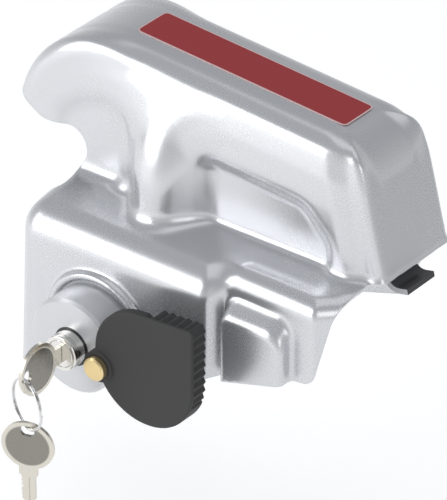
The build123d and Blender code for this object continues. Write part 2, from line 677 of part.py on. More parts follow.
# ---- keys and ring ----------------------------------------------------------------------------
def make_key(plane):
    """A key on a plane whose origin is the blade's middle at the shoulder's inner end.

    Local X points from the blade towards the bow's end, local Y across the blade.
    """
    neck_height, neck_length = key_neck
    bow_middle = neck_length + bow_length / 2
    with BuildPart() as key_piece:
        with BuildSketch(plane.offset(-key_thickness / 2)):
            with Locations((-key_blade_length / 2, 0)):
                Rectangle(key_blade_length, key_blade_height)
            with Locations((-key_blade_length, key_blade_height / 2),
                           (-key_blade_length, -key_blade_height / 2)):
                Rectangle(key_tip_cut, key_tip_cut, rotation=45, mode=Mode.SUBTRACT)
            with Locations(((neck_length + key_neck_under_bow) / 2, 0)):
                Rectangle(neck_length + key_neck_under_bow, neck_height)
            with Locations((bow_middle, 0)):
                Ellipse(bow_length / 2, bow_width / 2)
            with Locations((neck_length + bow_length - bow_hole_inset, 0)):
                SlotOverall(bow_hole[0], bow_hole[1], rotation=90, mode=Mode.SUBTRACT)
            first_cut, least_cut, cut_step = key_cut
            for cut in range(wafer_count):
                cut_size = least_cut + cut_step * (cut % 3)
                with Locations((-first_cut - cut * wafer_pitch, key_blade_height / 2)):
                    Rectangle(least_cut, cut_size, rotation=45, mode=Mode.SUBTRACT)
        extrude(amount=key_thickness)
        groove_width, groove_depth, groove_place = key_groove
        for face_side in (-1, 1):
            with BuildSketch(plane.offset(face_side * key_thickness / 2)):
                with Locations((-key_blade_length / 2 - 1, groove_place)):
                    Rectangle(key_blade_length, groove_width)
            extrude(amount=-face_side * groove_depth, mode=Mode.SUBTRACT)
    return key_piece.part


key_hole_reach = key_neck[1] + bow_length - bow_hole_inset
key_shoulder_y = barrel_face_y - keyway_gap
key_plane = Plane(origin=(lock_x, key_shoulder_y, lock_z), x_dir=(0, -1, 0), z_dir=(1, 0, 0))
key = make_key(key_plane)
key.label = "key"

hole_y = key_shoulder_y - key_hole_reach
wire_top_z = lock_z - bow_hole[0] / 2 + ring_wire / 2 + hang_gap
ring_middle_z = wire_top_z - ring_diameter / 2
wire_low_z = wire_top_z - ring_diameter
with BuildPart() as key_ring:
    turned = Plane(origin=(lock_x, hole_y, ring_middle_z),
                   x_dir=(cos(radians(ring_turn)), sin(radians(ring_turn)), 0),
                   z_dir=(-sin(radians(ring_turn)), cos(radians(ring_turn)), 0))
    section_plane = Plane(origin=turned.origin, x_dir=turned.x_dir, z_dir=(0, 0, 1))
    with BuildSketch(section_plane):
        with Locations((ring_diameter / 2, -ring_coil_step / 2), (ring_diameter / 2, ring_coil_step / 2)):
            Circle(ring_wire / 2)
    revolve(axis=Axis(turned.origin, turned.z_dir))
key_ring.part.label = "key_ring"

spare_hole_z = wire_low_z + ring_wire / 2 + hang_gap - bow_hole[1] / 2
spare_shoulder_z = spare_hole_z - key_hole_reach
spare_plane = Plane(origin=(lock_x, hole_y, spare_shoulder_z), x_dir=(0, 0, 1),
                    z_dir=(sin(radians(spare_turn)), -cos(radians(spare_turn)), 0))
spare_key = make_key(spare_plane)
spare_key.label = "spare_key"


# ---- dust cap ---------------------------------------------------------------------------------
# The outline is drawn from the pivot: X is +X and Y is -Z, as on the across plane.
with BuildSketch() as cap_outline:
    with Locations((cap_shift[0], -cap_shift[1])):
        Circle(cap_radius)
    with BuildLine():
        Polyline(
            (cap_flat_start[0], -cap_flat_start[1]), (cap_corner[0], -cap_corner[1]),
            (cap_corner_foot[0], -cap_corner_foot[1]), (cap_shift[0], -cap_shift[1]), close=True,
        )
    make_face()

with BuildPart() as dust_cap:
    with BuildSketch(across(cap_face_y, cap_pin_x)):
        add(cap_outline.sketch)
    extrude(amount=cap_thickness)
    with BuildSketch(across(cap_face_y, cap_pin_x)):
        add(cap_outline.sketch)
        Circle(grip_clear_radius, mode=Mode.SUBTRACT)
    extrude(amount=grip_depth)
    add(disc(hub_diameter, hub_face_y, cap_back_y - hub_face_y, x=cap_pin_x))
    add(disc(pin_shank_diameter + 2 * running, hub_face_y - 1, cap_back_y - hub_face_y + 2,
             x=cap_pin_x), mode=Mode.SUBTRACT)
    add(disc(seal_diameter, cap_back_y - seal_thickness, seal_thickness,
             x=cap_pin_x + cap_pin_reach), mode=Mode.SUBTRACT)
    for groove in range(groove_count):
        groove_z = lock_z + cap_corner[1] - groove_top - groove * groove_pitch
        with Locations(across(cap_face_y - 1, cap_pin_x + cap_corner[0] + groove_inset, groove_z)):
            Cylinder(groove_radius, grip_depth + 3, align=(Align.CENTER, Align.CENTER, Align.MIN),
                     mode=Mode.SUBTRACT)
dust_cap.part.label = "dust_cap"

cap_seal = disc(seal_diameter - 2 * seal_gap, cap_back_y - seal_thickness, seal_thickness,
                x=cap_pin_x + cap_pin_reach)
cap_seal.label = "cap_seal"

with BuildPart() as cap_pivot_pin:
    head_back_y = hub_face_y - washer_thickness - 2 * washer_gap
    add(disc(pin_head[0], head_back_y - pin_head[1], pin_head[1], x=cap_pin_x))
    chamfer(cap_pivot_pin.faces().sort_by(Axis.Y)[0].edges(), length=pin_head_chamfer)
    add(disc(pin_shank_diameter, head_back_y, boss_face_y + pin_shank_depth - head_back_y,
             x=cap_pin_x))
cap_pivot_pin.part.label = "cap_pivot_pin"

cap_washer = disc(pin_head[0] - 2 * washer_rim, hub_face_y - washer_thickness - washer_gap,
                  washer_thickness,
                  bore=pin_shank_diameter + 2 * running, x=cap_pin_x)
cap_washer.label = "cap_washer"


# ---- front hook and label ---------------------------------------------------------------------
with BuildPart() as front_hook:
    lean = radians(end_draft)
    inner_foot_x = end_foot_x - wall / cos(lean)
    middle_x = inner_foot_x - hook_thickness / 2 / cos(lean)
    leg_start = (middle_x - hook_leg * sin(lean), end_foot_z + hook_leg * cos(lean))
    with BuildSketch(Plane.XZ.offset(-hook_y[0])):
        with BuildLine():
            leg = Line(leg_start, (middle_x, end_foot_z))
            bend = JernArc(leg @ 1, leg % 1, hook_bend_radius, 90 - end_draft + hook_lip_rise)
            PolarLine(bend @ 1, hook_lip_length, direction=bend % 1)
        trace(line_width=hook_thickness)
    extrude(amount=-(hook_y[1] - hook_y[0]))
front_hook.part.label = "front_hook"

with BuildPart() as label:
    label_plane = Plane(origin=(0, 0, spine_top), x_dir=(cos(radians(spine_slope)), 0,
                                                         -sin(radians(spine_slope))),
                        z_dir=(sin(radians(spine_slope)), 0, cos(radians(spine_slope))))
    with BuildSketch(label_plane):
        RectangleRounded(label_size[0], label_size[1], label_radius)
    extrude(amount=label_thickness)
label.part.label = "label"


# ---- write one file for each piece ------------------------------------------------------------
pieces = [
    shell.part, lock_housing.part, backing_plate.part, housing_screws.part, guide_bush.part,
    barrel_o_ring.part, guide_screw.part, lock_barrel.part, locking_bolt.part, bolt_roll_pin.part,
    return_spring.part, lock_plug.part, wafers.part, wafer_springs.part, plug_clip.part,
    driver_cam.part, detent_pin.part, detent_spring.part, key, key_ring.part, spare_key,
    dust_cap.part, cap_seal, cap_pivot_pin.part, cap_washer, front_hook.part, label.part,
]
os.makedirs("parts", exist_ok=True)
for piece in pieces:
    export_step(piece, f"parts/{piece.label}.step")
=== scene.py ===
"""Trailer coupler lock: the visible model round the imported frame."""
import math

import bpy
import numpy as np
from bpy.props import FloatProperty, FloatVectorProperty, IntProperty, PointerProperty
from bpy.types import Operator, Panel, PropertyGroup
from mathutils import Matrix, Vector


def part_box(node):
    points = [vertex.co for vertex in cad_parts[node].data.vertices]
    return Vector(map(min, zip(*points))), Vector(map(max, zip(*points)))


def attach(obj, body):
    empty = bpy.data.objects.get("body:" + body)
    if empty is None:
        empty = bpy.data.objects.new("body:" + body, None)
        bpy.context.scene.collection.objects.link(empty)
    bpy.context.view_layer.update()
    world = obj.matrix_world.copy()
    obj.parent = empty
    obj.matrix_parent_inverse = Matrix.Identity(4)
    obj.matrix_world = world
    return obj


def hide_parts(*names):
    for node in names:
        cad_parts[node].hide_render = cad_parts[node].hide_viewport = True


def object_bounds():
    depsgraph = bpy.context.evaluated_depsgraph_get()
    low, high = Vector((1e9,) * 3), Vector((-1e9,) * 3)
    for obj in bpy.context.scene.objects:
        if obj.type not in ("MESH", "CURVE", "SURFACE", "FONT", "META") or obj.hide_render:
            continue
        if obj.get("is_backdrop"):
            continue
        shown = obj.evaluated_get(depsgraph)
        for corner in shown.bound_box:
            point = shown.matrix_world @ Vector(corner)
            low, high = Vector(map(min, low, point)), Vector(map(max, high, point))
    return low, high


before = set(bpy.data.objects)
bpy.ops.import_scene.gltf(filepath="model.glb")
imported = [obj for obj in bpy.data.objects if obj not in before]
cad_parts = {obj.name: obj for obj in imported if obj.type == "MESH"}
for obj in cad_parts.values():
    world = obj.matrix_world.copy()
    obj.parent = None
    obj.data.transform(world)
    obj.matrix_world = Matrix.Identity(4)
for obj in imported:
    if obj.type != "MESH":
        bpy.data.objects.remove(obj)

bl_info = {
    "name": "Trailer Coupler Lock",
    "version": (1, 0, 0),
    "blender": (4, 5, 0),
    "location": "View3D > Sidebar > Coupler Lock",
    "description": "Builds the drawn cover, lock, keys and dust cap of a trailer coupler lock",
    "category": "Object",
}

MM = 0.001
CAD_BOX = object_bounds()
BARREL_LOW, BARREL_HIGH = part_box("lock_barrel")
LOCK_X = (BARREL_LOW.x + BARREL_HIGH.x) / 2 / MM
LOCK_Z = (BARREL_LOW.z + BARREL_HIGH.z) / 2 / MM
BOSS_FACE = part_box("lock_housing")[0].y / MM
RING_WIRE = 0.6                  # half the CAD ring's wire, mm
BOW = (28.0, 29.0)               # a key's bow, along and across the key, mm
SPARE_TURN = math.radians(18.0)  # of the spare key's plane about Z
WIPER_RADIUS = 11.1              # outside of the wiper ring, mm
LABEL_CORNER = 3.0               # radius of the label's corners, mm
LABEL_LINE = 0.7                 # width of the line along its edge, mm


# ---- sizes and colours ------------------------------------------------------
def length_property(name, description, millimetres, low=0.0):
    """A length in metres, given in millimetres."""
    return FloatProperty(
        name=name, description=description, default=millimetres * MM, min=low,
        unit="LENGTH", subtype="DISTANCE",
    )


def colour_property(name, description, colour):
    """A colour with no alpha."""
    return FloatVectorProperty(
        name=name, description=description, default=colour, size=3, min=0.0, max=1.0,
        subtype="COLOR",
    )


class CouplerCoverSizes(PropertyGroup):
    """Sizes of the drawn sheet cover."""
    sheet: length_property("Sheet", "Thickness of the drawn sheet", 2.5)
    grid: length_property("Grid", "Spacing of the mesh on the drawn sheet", 1.6)
    spine_half: length_property("Spine", "Half width of the spine's flat top", 19.5)
    bulge_half: length_property("Bulge", "Half width over the side bulges", 36.0)
    web_half: length_property("Web", "Half width over the recessed webs", 29.5)
    pillar_reach: length_property("Pillar", "How far out the upright rib stands", 50.0)
    shoulder: length_property("Shoulder", "Rounding of the lower blocks' top edges", 15.0)
    rim: length_property("Rim", "Rounding of the sheet's cut edge", 0.45)


class CouplerCapSizes(PropertyGroup):
    """Sizes of the dust cap."""
    grid: length_property("Grid", "Spacing of the mesh on the cap", 0.62)
    tooth_pitch: length_property("Tooth pitch", "Spacing of the grip's teeth", 5.0)
    tooth_depth: length_property("Tooth depth", "Height of the grip's teeth", 1.5)
    edge: length_property("Edge", "Rounding of the cap's edges", 0.9)


class CouplerColours(PropertyGroup):
    """Colours of the finishes."""
    paint: colour_property("Paint", "Silver enamel on the cover", (0.62, 0.63, 0.65))
    label: colour_property("Label", "Ground colour of the label", (0.36, 0.035, 0.04))
    label_line: colour_property("Label line", "Line along the label's edge", (0.75, 0.55, 0.55))
    cap: colour_property("Cap", "Moulded plastic of the dust cap", (0.018, 0.018, 0.02))
    nickel: colour_property("Nickel", "Plated lock parts", (0.72, 0.69, 0.64))
    key: colour_property("Key", "Nickel silver of the keys", (0.66, 0.63, 0.56))
    brass: colour_property("Brass", "Turned brass of the cap's pin", (0.80, 0.62, 0.30))
    steel: colour_property("Steel", "Plain steel inside", (0.45, 0.45, 0.46))
    black: colour_property("Black", "Black enamel on the hook", (0.03, 0.03, 0.032))


class CouplerRingSizes(PropertyGroup):
    """Split ring that the keys hang on"""
    wire: length_property("Wire radius", "Half the thickness of the ring's wire", 0.48)
    step: length_property("Step", "Between the middles of neighbouring turns", 0.96)
    turned: FloatProperty(
        name="Turned", description="Angle of the ring's plane about Z", subtype="ANGLE",
        unit="ROTATION", default=math.radians(-20.0),
    )
    turns: IntProperty(name="Turns", description="Turns of wire", default=2, min=1, max=4)
    points: IntProperty(
        name="Points", description="Points along the wire", default=193, min=24, max=2000,
    )


class CouplerStage(PropertyGroup):
    """Camera, floor and lights."""
    lens: FloatProperty(name="Lens", description="Focal length in mm", default=360.0, min=10.0)
    distance: length_property("Distance", "From the camera to the object", 2540.0)
    azimuth: FloatProperty(
        name="Azimuth", description="Turn of the view about the vertical",
        default=math.radians(37.74), subtype="ANGLE",
    )
    elevation: FloatProperty(
        name="Elevation", description="Height angle of the view",
        default=math.radians(31.25), subtype="ANGLE",
    )
    floor_gap: length_property("Floor gap", "From the lowest point down to the floor", 60.0)


# ---- outlines and distances -------------------------------------------------
def rounded(corners, steps=9):
    """Outline through (u, v, radius) corners, with an arc at each corner that has a radius."""
    outline = []
    count = len(corners)
    for i, (u, v, radius) in enumerate(corners):
        corner = np.array([u, v], float)
        if not radius:
            outline.append(corner)
            continue
        back = np.array(corners[i - 1][:2], float) - corner
        ahead = np.array(corners[(i + 1) % count][:2], float) - corner
        back /= np.linalg.norm(back)
        ahead /= np.linalg.norm(ahead)
        half = math.acos(float(np.clip(back @ ahead, -1, 1))) / 2
        middle = back + ahead
        centre = corner + middle / np.linalg.norm(middle) * radius / math.sin(half)
        start = corner + back * radius / math.tan(half) - centre
        end = corner + ahead * radius / math.tan(half) - centre
        turn = math.atan2(start[0] * end[1] - start[1] * end[0], start @ end)
        for step in range(steps + 1):
            angle = turn * step / steps
            cos, sin = math.cos(angle), math.sin(angle)
            turned = (start[0] * cos - start[1] * sin, start[0] * sin + start[1] * cos)
            outline.append(centre + turned)
    return outline


def outline_distance(outline, u, v):
    """Signed distance to a closed outline, negative inside."""
    nearest = np.inf
    inside = np.zeros(np.broadcast(u, v).shape, bool)
    for (ax, ay), (bx, by) in zip(outline, outline[1:] + outline[:1]):
        ex, ey = bx - ax, by - ay
        wx, wy = u - ax, v - ay
        along = np.clip((wx * ex + wy * ey) / max(ex * ex + ey * ey, 1e-12), 0, 1)
        nearest = np.minimum(nearest, (wx - ex * along) ** 2 + (wy - ey * along) ** 2)
        if ay != by:
            inside ^= ((ay > v) != (by > v)) & (wx < ex * wy / ey)
    return np.where(inside, -1.0, 1.0) * np.sqrt(nearest)


def round_both(a, b, radius):
    """Where both a and b hold, with the edge between them rounded."""
    corner = np.sqrt(np.maximum(a + radius, 0) ** 2 + np.maximum(b + radius, 0) ** 2) - radius
    return np.where(np.maximum(a, b) > -radius, corner, np.maximum(a, b))


def blend_either(a, b, width):
    """Where a or b holds, with the hollow between them filled over width."""
    overlap = np.maximum(width - np.abs(a - b), 0) / width
    return np.minimum(a, b) - overlap * overlap * width / 4


def blend_both(a, b, width):
    """Where both hold, with the edge between them softened over width."""
    return -blend_either(-a, -b, width)


def smooth_step(low, high, value):
    """0 at low and 1 at high, level at both ends."""
    t = np.clip((value - low) / (high - low), 0, 1)
    return t * t * (3 - 2 * t)


# ---- the drawn cover, in millimetres ----------------------------------------
SPINE_FALL = math.tan(math.radians(4.3))
SPINE_TOP = 2.507
NOSE_X = -133.0
END_FOOT = (104.0, -73.5)
END_DRAFT = math.radians(14.2)
WALL_NEAR = -70.5
WALL_STEP = -62.0
WALL_FAR = 50.0
SHELF_Z = -75.5


END_ROUNDING = (24.0, 9.0)   # of the end's top edge, in the middle and at the sides
POCKET_DRAFT = 1.5           # how far a pocket widens for each mm outwards
POCKET_STRETCH = 1.8         # by which that draft stretches a distance
RIB_PLANE = (50.0, -40.0)    # a point (y, z) on the rib's sloping top
RIB_NORMAL = (0.79, 0.614)   # and the slope's normal
WALL_DRAFT = 0.035
SHELF_EDGE = -34.0           # y where the shelf starts to fall
SHELF_FALL = 0.17
PAD_FALL = 0.85
PAD_FACE = -70.8
COLLAR = (33.0, -72.0)       # radius and face of the boss's seat
BEAD = (30.6, -73.0, 2.2)    # radius, place and half thickness of the bead round it
SPIGOT_RADIUS = 19.4         # of the hole behind the boss
MOUTH_TOP = -57.0


def spine_z(x):
    """Height of the spine's top at x."""
    return SPINE_TOP - x * SPINE_FALL


def trim_z(x):
    """Height of the cover's bottom edge at x."""
    return -144.5 + (x - 23.0) * math.tan(math.radians(17.85))


class CoverForm:
    """The cover as a distance to its outer face, and as a distance to its trimmed edge."""

    def __init__(self, sizes):
        web, bulge = sizes.web_half / MM, sizes.bulge_half / MM
        self.web = web
        self.shoulder = sizes.shoulder / MM
        reach = sizes.pillar_reach / MM
        self.top = rounded([
            (NOSE_X, -300, 0), (NOSE_X, spine_z(NOSE_X), 65), (200, spine_z(200), 0),
            (200, -300, 0),
        ], 24)
        flat = sizes.spine_half / MM
        low_end = [(bulge, -300, 0), (-100, -300, 0), (-100, 0, 0)]
        self.section = rounded([
            (flat + 1.5, 0, 15), (29, -6.5, 11), (34, -20, 20), (bulge, -36, 20), *low_end,
        ])
        self.nose_section = rounded([(bulge - 0.5, 0, 9.5), (bulge, -40, 0), *low_end])
        self.end_plan = rounded([
            (-300, -99, 0), (-300, bulge, 0), (84.5, bulge, 10), (94.5, 29.8, 7), (99.5, 29.4, 0),
            (END_FOOT[0], 27.6, 5.5), (END_FOOT[0], -99, 0),
        ])
        self.front_pocket = rounded([
            (-8, -200, 0), (-8, -40.5, 5), (54, -45.6, 13), (69.5, -62, 14), (69.5, -200, 0),
        ])
        self.rear_pocket = rounded([
            (-99.5, -200, 0), (-99.5, -44, 8), (-86, -33.5, 14), (-72, -29.5, 8), (-60, -31.5, 8),
            (-58, -47, 14), (-67, -76, 12), (-67, -200, 0),
        ])
        self.pillar = rounded([
            (-86, -10, 0), (-76, -20, 12), (-57, -29, 16), (-32.5, -reach - 7.0, 17),
            (-4, -28.5, 5), (8, -10, 0),
        ])
        rear = -101.5
        self.plan = rounded([
            (rear, WALL_FAR, 14), (rear, WALL_NEAR - 0.5, 13.5), (21.5, WALL_NEAR - 0.5, 7.5),
            (30.5, WALL_STEP + 1.0, 8), (85, WALL_STEP, 4), (99, -48, 4), (112, -40, 0),
            (112, WALL_FAR, 0),
        ])
        self.pad = rounded([
            (31.5, -300, 0), (31.5, -92, 6), (71, -91.5, 11), (71.5, -300, 0),
        ])
        near_wing = [
            (102.5, -73.6, 3), (95.0, -75, 3), (91, -90, 10), (84.5, -124.4, 9), (70, -126.4, 8),
            (23, -140.4, 0),
        ]
        far_wing = [(102.5, -73.6, 2), (84, -77, 4), (62, trim_z(62), 10)]
        rest = [
            (-200, trim_z(-200), 0), (-200, -76, 0), (-86.5, -76, 12), (-86.5, -51.5, 12),
            (-114, -50.5, 8), (-200, 1.1, 0), (-200, 90, 0), (200, 90, 0), (200, -73.6, 0),
        ]
        self.near_side, self.far_side = (rounded(wing + rest) for wing in (near_wing, far_wing))
        self.front_plan = rounded([
            (-200, -99, 0), (95.5, -99, 0), (95.5, -37, 4), (108, -29, 4), (200, -29, 0),
            (200, 99, 0), (-200, 99, 0),
        ])
        self.mouth = rounded([(-200, -48, 0), (-91, -48, 7), (-91, 38, 7), (-200, 38, 0)])

    def dome(self, x, y, z):
        """The long upper form with its recessed webs and upright ribs."""
        across = np.sqrt(y * y + 0.01)
        depth = outline_distance(self.top, x, z)
        body = outline_distance(self.section, across, depth)
        boxy = outline_distance(self.nose_section, across, depth)
        body = body + (boxy - body) * smooth_step(-45, -106, x)
        foot_x = x + (z - END_FOOT[1]) * math.tan(END_DRAFT)
        end = outline_distance(self.end_plan, foot_x, across) * math.cos(END_DRAFT)
        body = self.rounded_end(body, end, across)
        for outline in (self.front_pocket, self.rear_pocket):
            draft = outline_distance(outline, x, z) - POCKET_DRAFT * (across - self.web)
            pocket = blend_both(draft / POCKET_STRETCH, self.web - across, 2.5)
            body = blend_both(body, -pocket, 3.0)
        rib = outline_distance(self.pillar, x, -across)
        slope = (across - RIB_PLANE[0]) * RIB_NORMAL[0] + (z - RIB_PLANE[1]) * RIB_NORMAL[1]
        rib = round_both(rib, np.maximum(slope, z + 14.0), 14.0)
        return blend_either(body, rib, 5.0 + 10.0 * smooth_step(-45, -20, z))

    @staticmethod
    def rounded_end(body, end, across):
        """The long form cut by its end face, with the edge between them rounded."""
        middle, side = END_ROUNDING
        return round_both(body, end, middle - (middle - side) * smooth_step(14, 27, across))

    def blocks(self, x, y, z):
        """The lower blocks that carry the lock, with the raised pad and the boss's seat."""
        outwards = WALL_DRAFT * np.clip(-85.0 - z, 0, 100) * smooth_step(-60, -95, x)
        outwards = outwards * smooth_step(30, -30, y)
        plan = outline_distance(self.plan, x, y) - outwards
        ahead = smooth_step(18, 36, x)
        sink = SHELF_FALL * np.clip(SHELF_EDGE - y, 0, 40 - 28 * ahead) * (1 - 0.25 * ahead)
        rounding = self.shoulder - 4.0 * ahead
        body = round_both(plan, z - SHELF_Z + sink, rounding)
        fall = PAD_FALL * np.clip(WALL_STEP - y, 0, 12)
        pad = round_both(outline_distance(self.pad, x, z + fall), PAD_FACE - y, 3.0)
        body = blend_either(body, pad, 2.5)
        from_axis = np.hypot(x - LOCK_X, z - LOCK_Z)
        collar = round_both(from_axis - COLLAR[0], COLLAR[1] - y, 1.5)
        body = blend_either(body, collar, 2.5)
        bead = np.hypot(from_axis - BEAD[0], y - BEAD[1]) - BEAD[2]
        return blend_either(body, bead, 1.0)

    def surface(self, x, y, z):
        """Signed distance to the cover's outer face."""
        width = 9.0 - 3.5 * smooth_step(-20, 0, x)
        body = blend_either(self.dome(x, y, z), self.blocks(x, y, z), width)
        return blend_both(body, y - WALL_FAR, 2.0)

    def kept(self, x, y, z):
        """Negative where the trimmed cover keeps its sheet."""
        side = np.where(
            y < 0, outline_distance(self.near_side, x, z), outline_distance(self.far_side, x, z)
        )
        mouth = np.maximum(outline_distance(self.mouth, x, y), z - MOUTH_TOP)
        side = blend_both(side, -mouth, 3.0)
        side = np.maximum(side, outline_distance(self.front_plan, x, y))
        spigot = SPIGOT_RADIUS - np.hypot(x - LOCK_X, z - LOCK_Z)
        return np.where(y < -40, np.maximum(side, spigot), side)


# ---- meshes from distances --------------------------------------------------
def gradient(distance, points, reach=0.04):
    """Slope of a distance at points."""
    slopes = np.empty_like(points)
    for axis in range(3):
        ahead, behind = points.copy(), points.copy()
        ahead[:, axis] += reach
        behind[:, axis] -= reach
        slopes[:, axis] = (distance(*ahead.T) - distance(*behind.T)) / (2 * reach)
    return slopes


def settle(distance, points, rounds=3):
    """Move points onto the zero of a distance."""
    for _ in range(rounds):
        slopes = gradient(distance, points)
        size = np.maximum((slopes ** 2).sum(1), 0.04)
        step = (distance(*points.T) / size)[:, None] * slopes
        points = points - np.clip(step, -1.5, 1.5)
    return points


def surface_net(distance, low, high, step):
    """Quads of the zero surface of a distance, one corner for each grid cell that it crosses."""
    axes = [np.arange(a, b + step, step) for a, b in zip(low, high)]
    grids = np.meshgrid(*axes, indexing="ij", sparse=True)
    values = np.broadcast_to(distance(*grids), [len(a) for a in axes])
    inside = values < 0
    shape = np.array(values.shape) - 1
    total = np.zeros((*shape, 3))
    hits = np.zeros(shape, int)
    crossings = []
    for axis in range(3):
        first = [slice(None)] * 3
        second = [slice(None)] * 3
        first[axis], second[axis] = slice(0, -1), slice(1, None)
        a, b = values[tuple(first)], values[tuple(second)]
        cross = np.argwhere((a < 0) != (b < 0))
        at = tuple(cross.T)
        place = cross.astype(float)
        place[:, axis] += a[at] / (a[at] - b[at])
        others = [k for k in range(3) if k != axis]
        for du in (0, 1):
            for dv in (0, 1):
                cell = cross.copy()
                cell[:, others[0]] -= du
                cell[:, others[1]] -= dv
                good = ((cell >= 0) & (cell < shape)).all(1)
                cells = tuple(cell[good].T)
                np.add.at(total, cells, place[good])
                np.add.at(hits, cells, 1)
        inner = (cross[:, others[0]] > 0) & (cross[:, others[1]] > 0)
        inner &= (cross[:, others[0]] < shape[others[0]]) & (cross[:, others[1]] < shape[others[1]])
        crossings.append((axis, others, cross[inner], (a < 0)[at][inner]))
    used = hits > 0
    index = np.full(shape, -1)
    index[used] = np.arange(used.sum())
    points = total[used] / hits[used][:, None] * step + np.array(low)
    quads = []
    for axis, others, cross, rising in crossings:
        ring = []
        for du, dv in ((1, 1), (0, 1), (0, 0), (1, 0)):
            cell = cross.copy()
            cell[:, others[0]] -= du
            cell[:, others[1]] -= dv
            ring.append(index[tuple(cell.T)])
        quad = np.stack(ring, 1)
        flip = rising if axis != 1 else ~rising
        quad[~flip] = quad[~flip][:, ::-1]
        quads.append(quad)
    return points, np.concatenate(quads)


def relax(distance, points, quads, rounds=2):
    """Even out the corners of a net along its surface."""
    edges = np.concatenate([quads[:, [i, (i + 1) % 4]] for i in range(4)])
    for _ in range(rounds):
        total = np.zeros_like(points)
        count = np.zeros(len(points))
        for a, b in ((0, 1), (1, 0)):
            np.add.at(total, edges[:, a], points[edges[:, b]])
            np.add.at(count, edges[:, a], 1)
        middle = total / np.maximum(count, 1)[:, None]
        points = settle(distance, points + 0.5 * (middle - points), 2)
    return points


def clip_net(points, triangles, kept, distance):
    """Cut triangles along the zero of kept. Returns the new points and triangles."""
    value = kept(*points.T)
    edges = np.sort(np.concatenate([triangles[:, [i, (i + 1) % 3]] for i in range(3)]), 1)
    edges = np.unique(edges, axis=0)
    crossing = edges[(value[edges[:, 0]] < 0) != (value[edges[:, 1]] < 0)]
    share = value[crossing[:, 0]] / (value[crossing[:, 0]] - value[crossing[:, 1]])
    near = np.where(share < 0.5, crossing[:, 0], crossing[:, 1])
    close = np.minimum(share, 1 - share) < 0.22
    a, b = crossing.T
    place = points[a] + share[:, None] * (points[b] - points[a])
    points = points.copy()
    points[near[close]] = place[close]
    snapped = np.zeros(len(points), bool)
    snapped[near[close]] = True
    value = kept(*points.T)
    value[snapped] = 0.0
    keep_sign = np.where(value < 0, -1, 1)
    keep_sign[snapped] = 0
    crossing = crossing[keep_sign[a] * keep_sign[b] < 0]
    a, b = crossing.T
    share = value[a] / (value[a] - value[b])
    cuts = points[a] + share[:, None] * (points[b] - points[a])
    cut_index = {tuple(pair): len(points) + i for i, pair in enumerate(crossing.tolist())}
    points = np.concatenate([points, cuts])
    signs = keep_sign[triangles]
    whole = triangles[(signs.max(1) <= 0) & (signs.min(1) < 0)]
    mixed = triangles[(signs.min(1) < 0) & (signs.max(1) > 0)]
    pieces = []
    for triangle in mixed.tolist():
        ring = []
        for i in range(3):
            p, q = triangle[i], triangle[(i + 1) % 3]
            if keep_sign[p] <= 0:
                ring.append(p)
            if keep_sign[p] * keep_sign[q] < 0:
                ring.append(cut_index[(min(p, q), max(p, q))])
        for i in range(1, len(ring) - 1):
            pieces.append((ring[0], ring[i], ring[i + 1]))
    triangles = np.concatenate([whole, np.array(pieces, int).reshape(-1, 3)])
    edge = np.concatenate([np.flatnonzero(snapped), np.arange(len(snapped), len(points))])
    for _ in range(4):
        rim = settle(distance, points[edge], 1)
        slopes = gradient(kept, rim)
        size = np.maximum((slopes ** 2).sum(1), 0.25)
        points[edge] = rim - np.clip((kept(*rim.T) / size)[:, None] * slopes, -0.5, 0.5)
    return points, triangles


def largest_part(points, triangles):
    """Only the largest connected part of a mesh, with unused points dropped."""
    label = np.arange(len(points))
    while True:
        low = label[triangles].min(1)
        fresh = label.copy()
        for i in range(3):
            np.minimum.at(fresh, triangles[:, i], low)
        fresh = fresh[fresh]
        if (fresh == label).all():
            break
        label = fresh
    names, counts = np.unique(label[triangles[:, 0]], return_counts=True)
    triangles = triangles[label[triangles[:, 0]] == names[counts.argmax()]]
    used = np.unique(triangles)
    index = np.zeros(len(points), int)
    index[used] = np.arange(len(used))
    return points[used], index[triangles]


def rim_edges(triangles):
    """Directed edges that only one triangle has."""
    edges = np.concatenate([triangles[:, [i, (i + 1) % 3]] for i in range(3)])
    key = edges[:, 0].astype(np.int64) * (edges.max() + 1) + edges[:, 1]
    back = edges[:, 1].astype(np.int64) * (edges.max() + 1) + edges[:, 0]
    return edges[~np.isin(key, back)]


def sheet_solid(points, triangles, distance, thickness, rim):
    """Give an open skin its thickness, inwards, with a softly rounded cut edge."""
    normals = gradient(distance, points)
    normals /= np.linalg.norm(normals, axis=1)[:, None]
    count = len(points)
    edges = rim_edges(triangles)
    outward = np.zeros_like(points)
    along = points[edges[:, 1]] - points[edges[:, 0]]
    along /= np.maximum(np.linalg.norm(along, axis=1), 1e-9)[:, None]
    for end in (0, 1):
        np.add.at(outward, edges[:, end], np.cross(along, normals[edges[:, end]]))
    on_rim = np.unique(edges)
    outward[on_rim] /= np.maximum(np.linalg.norm(outward[on_rim], axis=1), 1e-9)[:, None]
    layers = [points, points - thickness * normals]
    faces = [triangles, triangles[:, ::-1] + count]
    profile = [(rim * depth, rim * out) for depth, out in ((0.3, 0.75), (1.0, 1.0))]
    profile += [(thickness - depth, out) for depth, out in reversed(profile)]
    slot = np.zeros(count, int)
    slot[on_rim] = np.arange(len(on_rim))
    base = 2 * count
    rings = [edges]
    for depth, out in profile:
        layers.append(points[on_rim] - depth * normals[on_rim] + out * outward[on_rim])
        rings.append(slot[edges] + base)
        base += len(on_rim)
    rings.append(edges + count)
    for outer, inner in zip(rings, rings[1:]):
        faces.append(np.stack([outer[:, 1], outer[:, 0], inner[:, 0]], 1))
        faces.append(np.stack([outer[:, 1], inner[:, 0], inner[:, 1]], 1))
    return np.concatenate(layers), np.concatenate(faces)


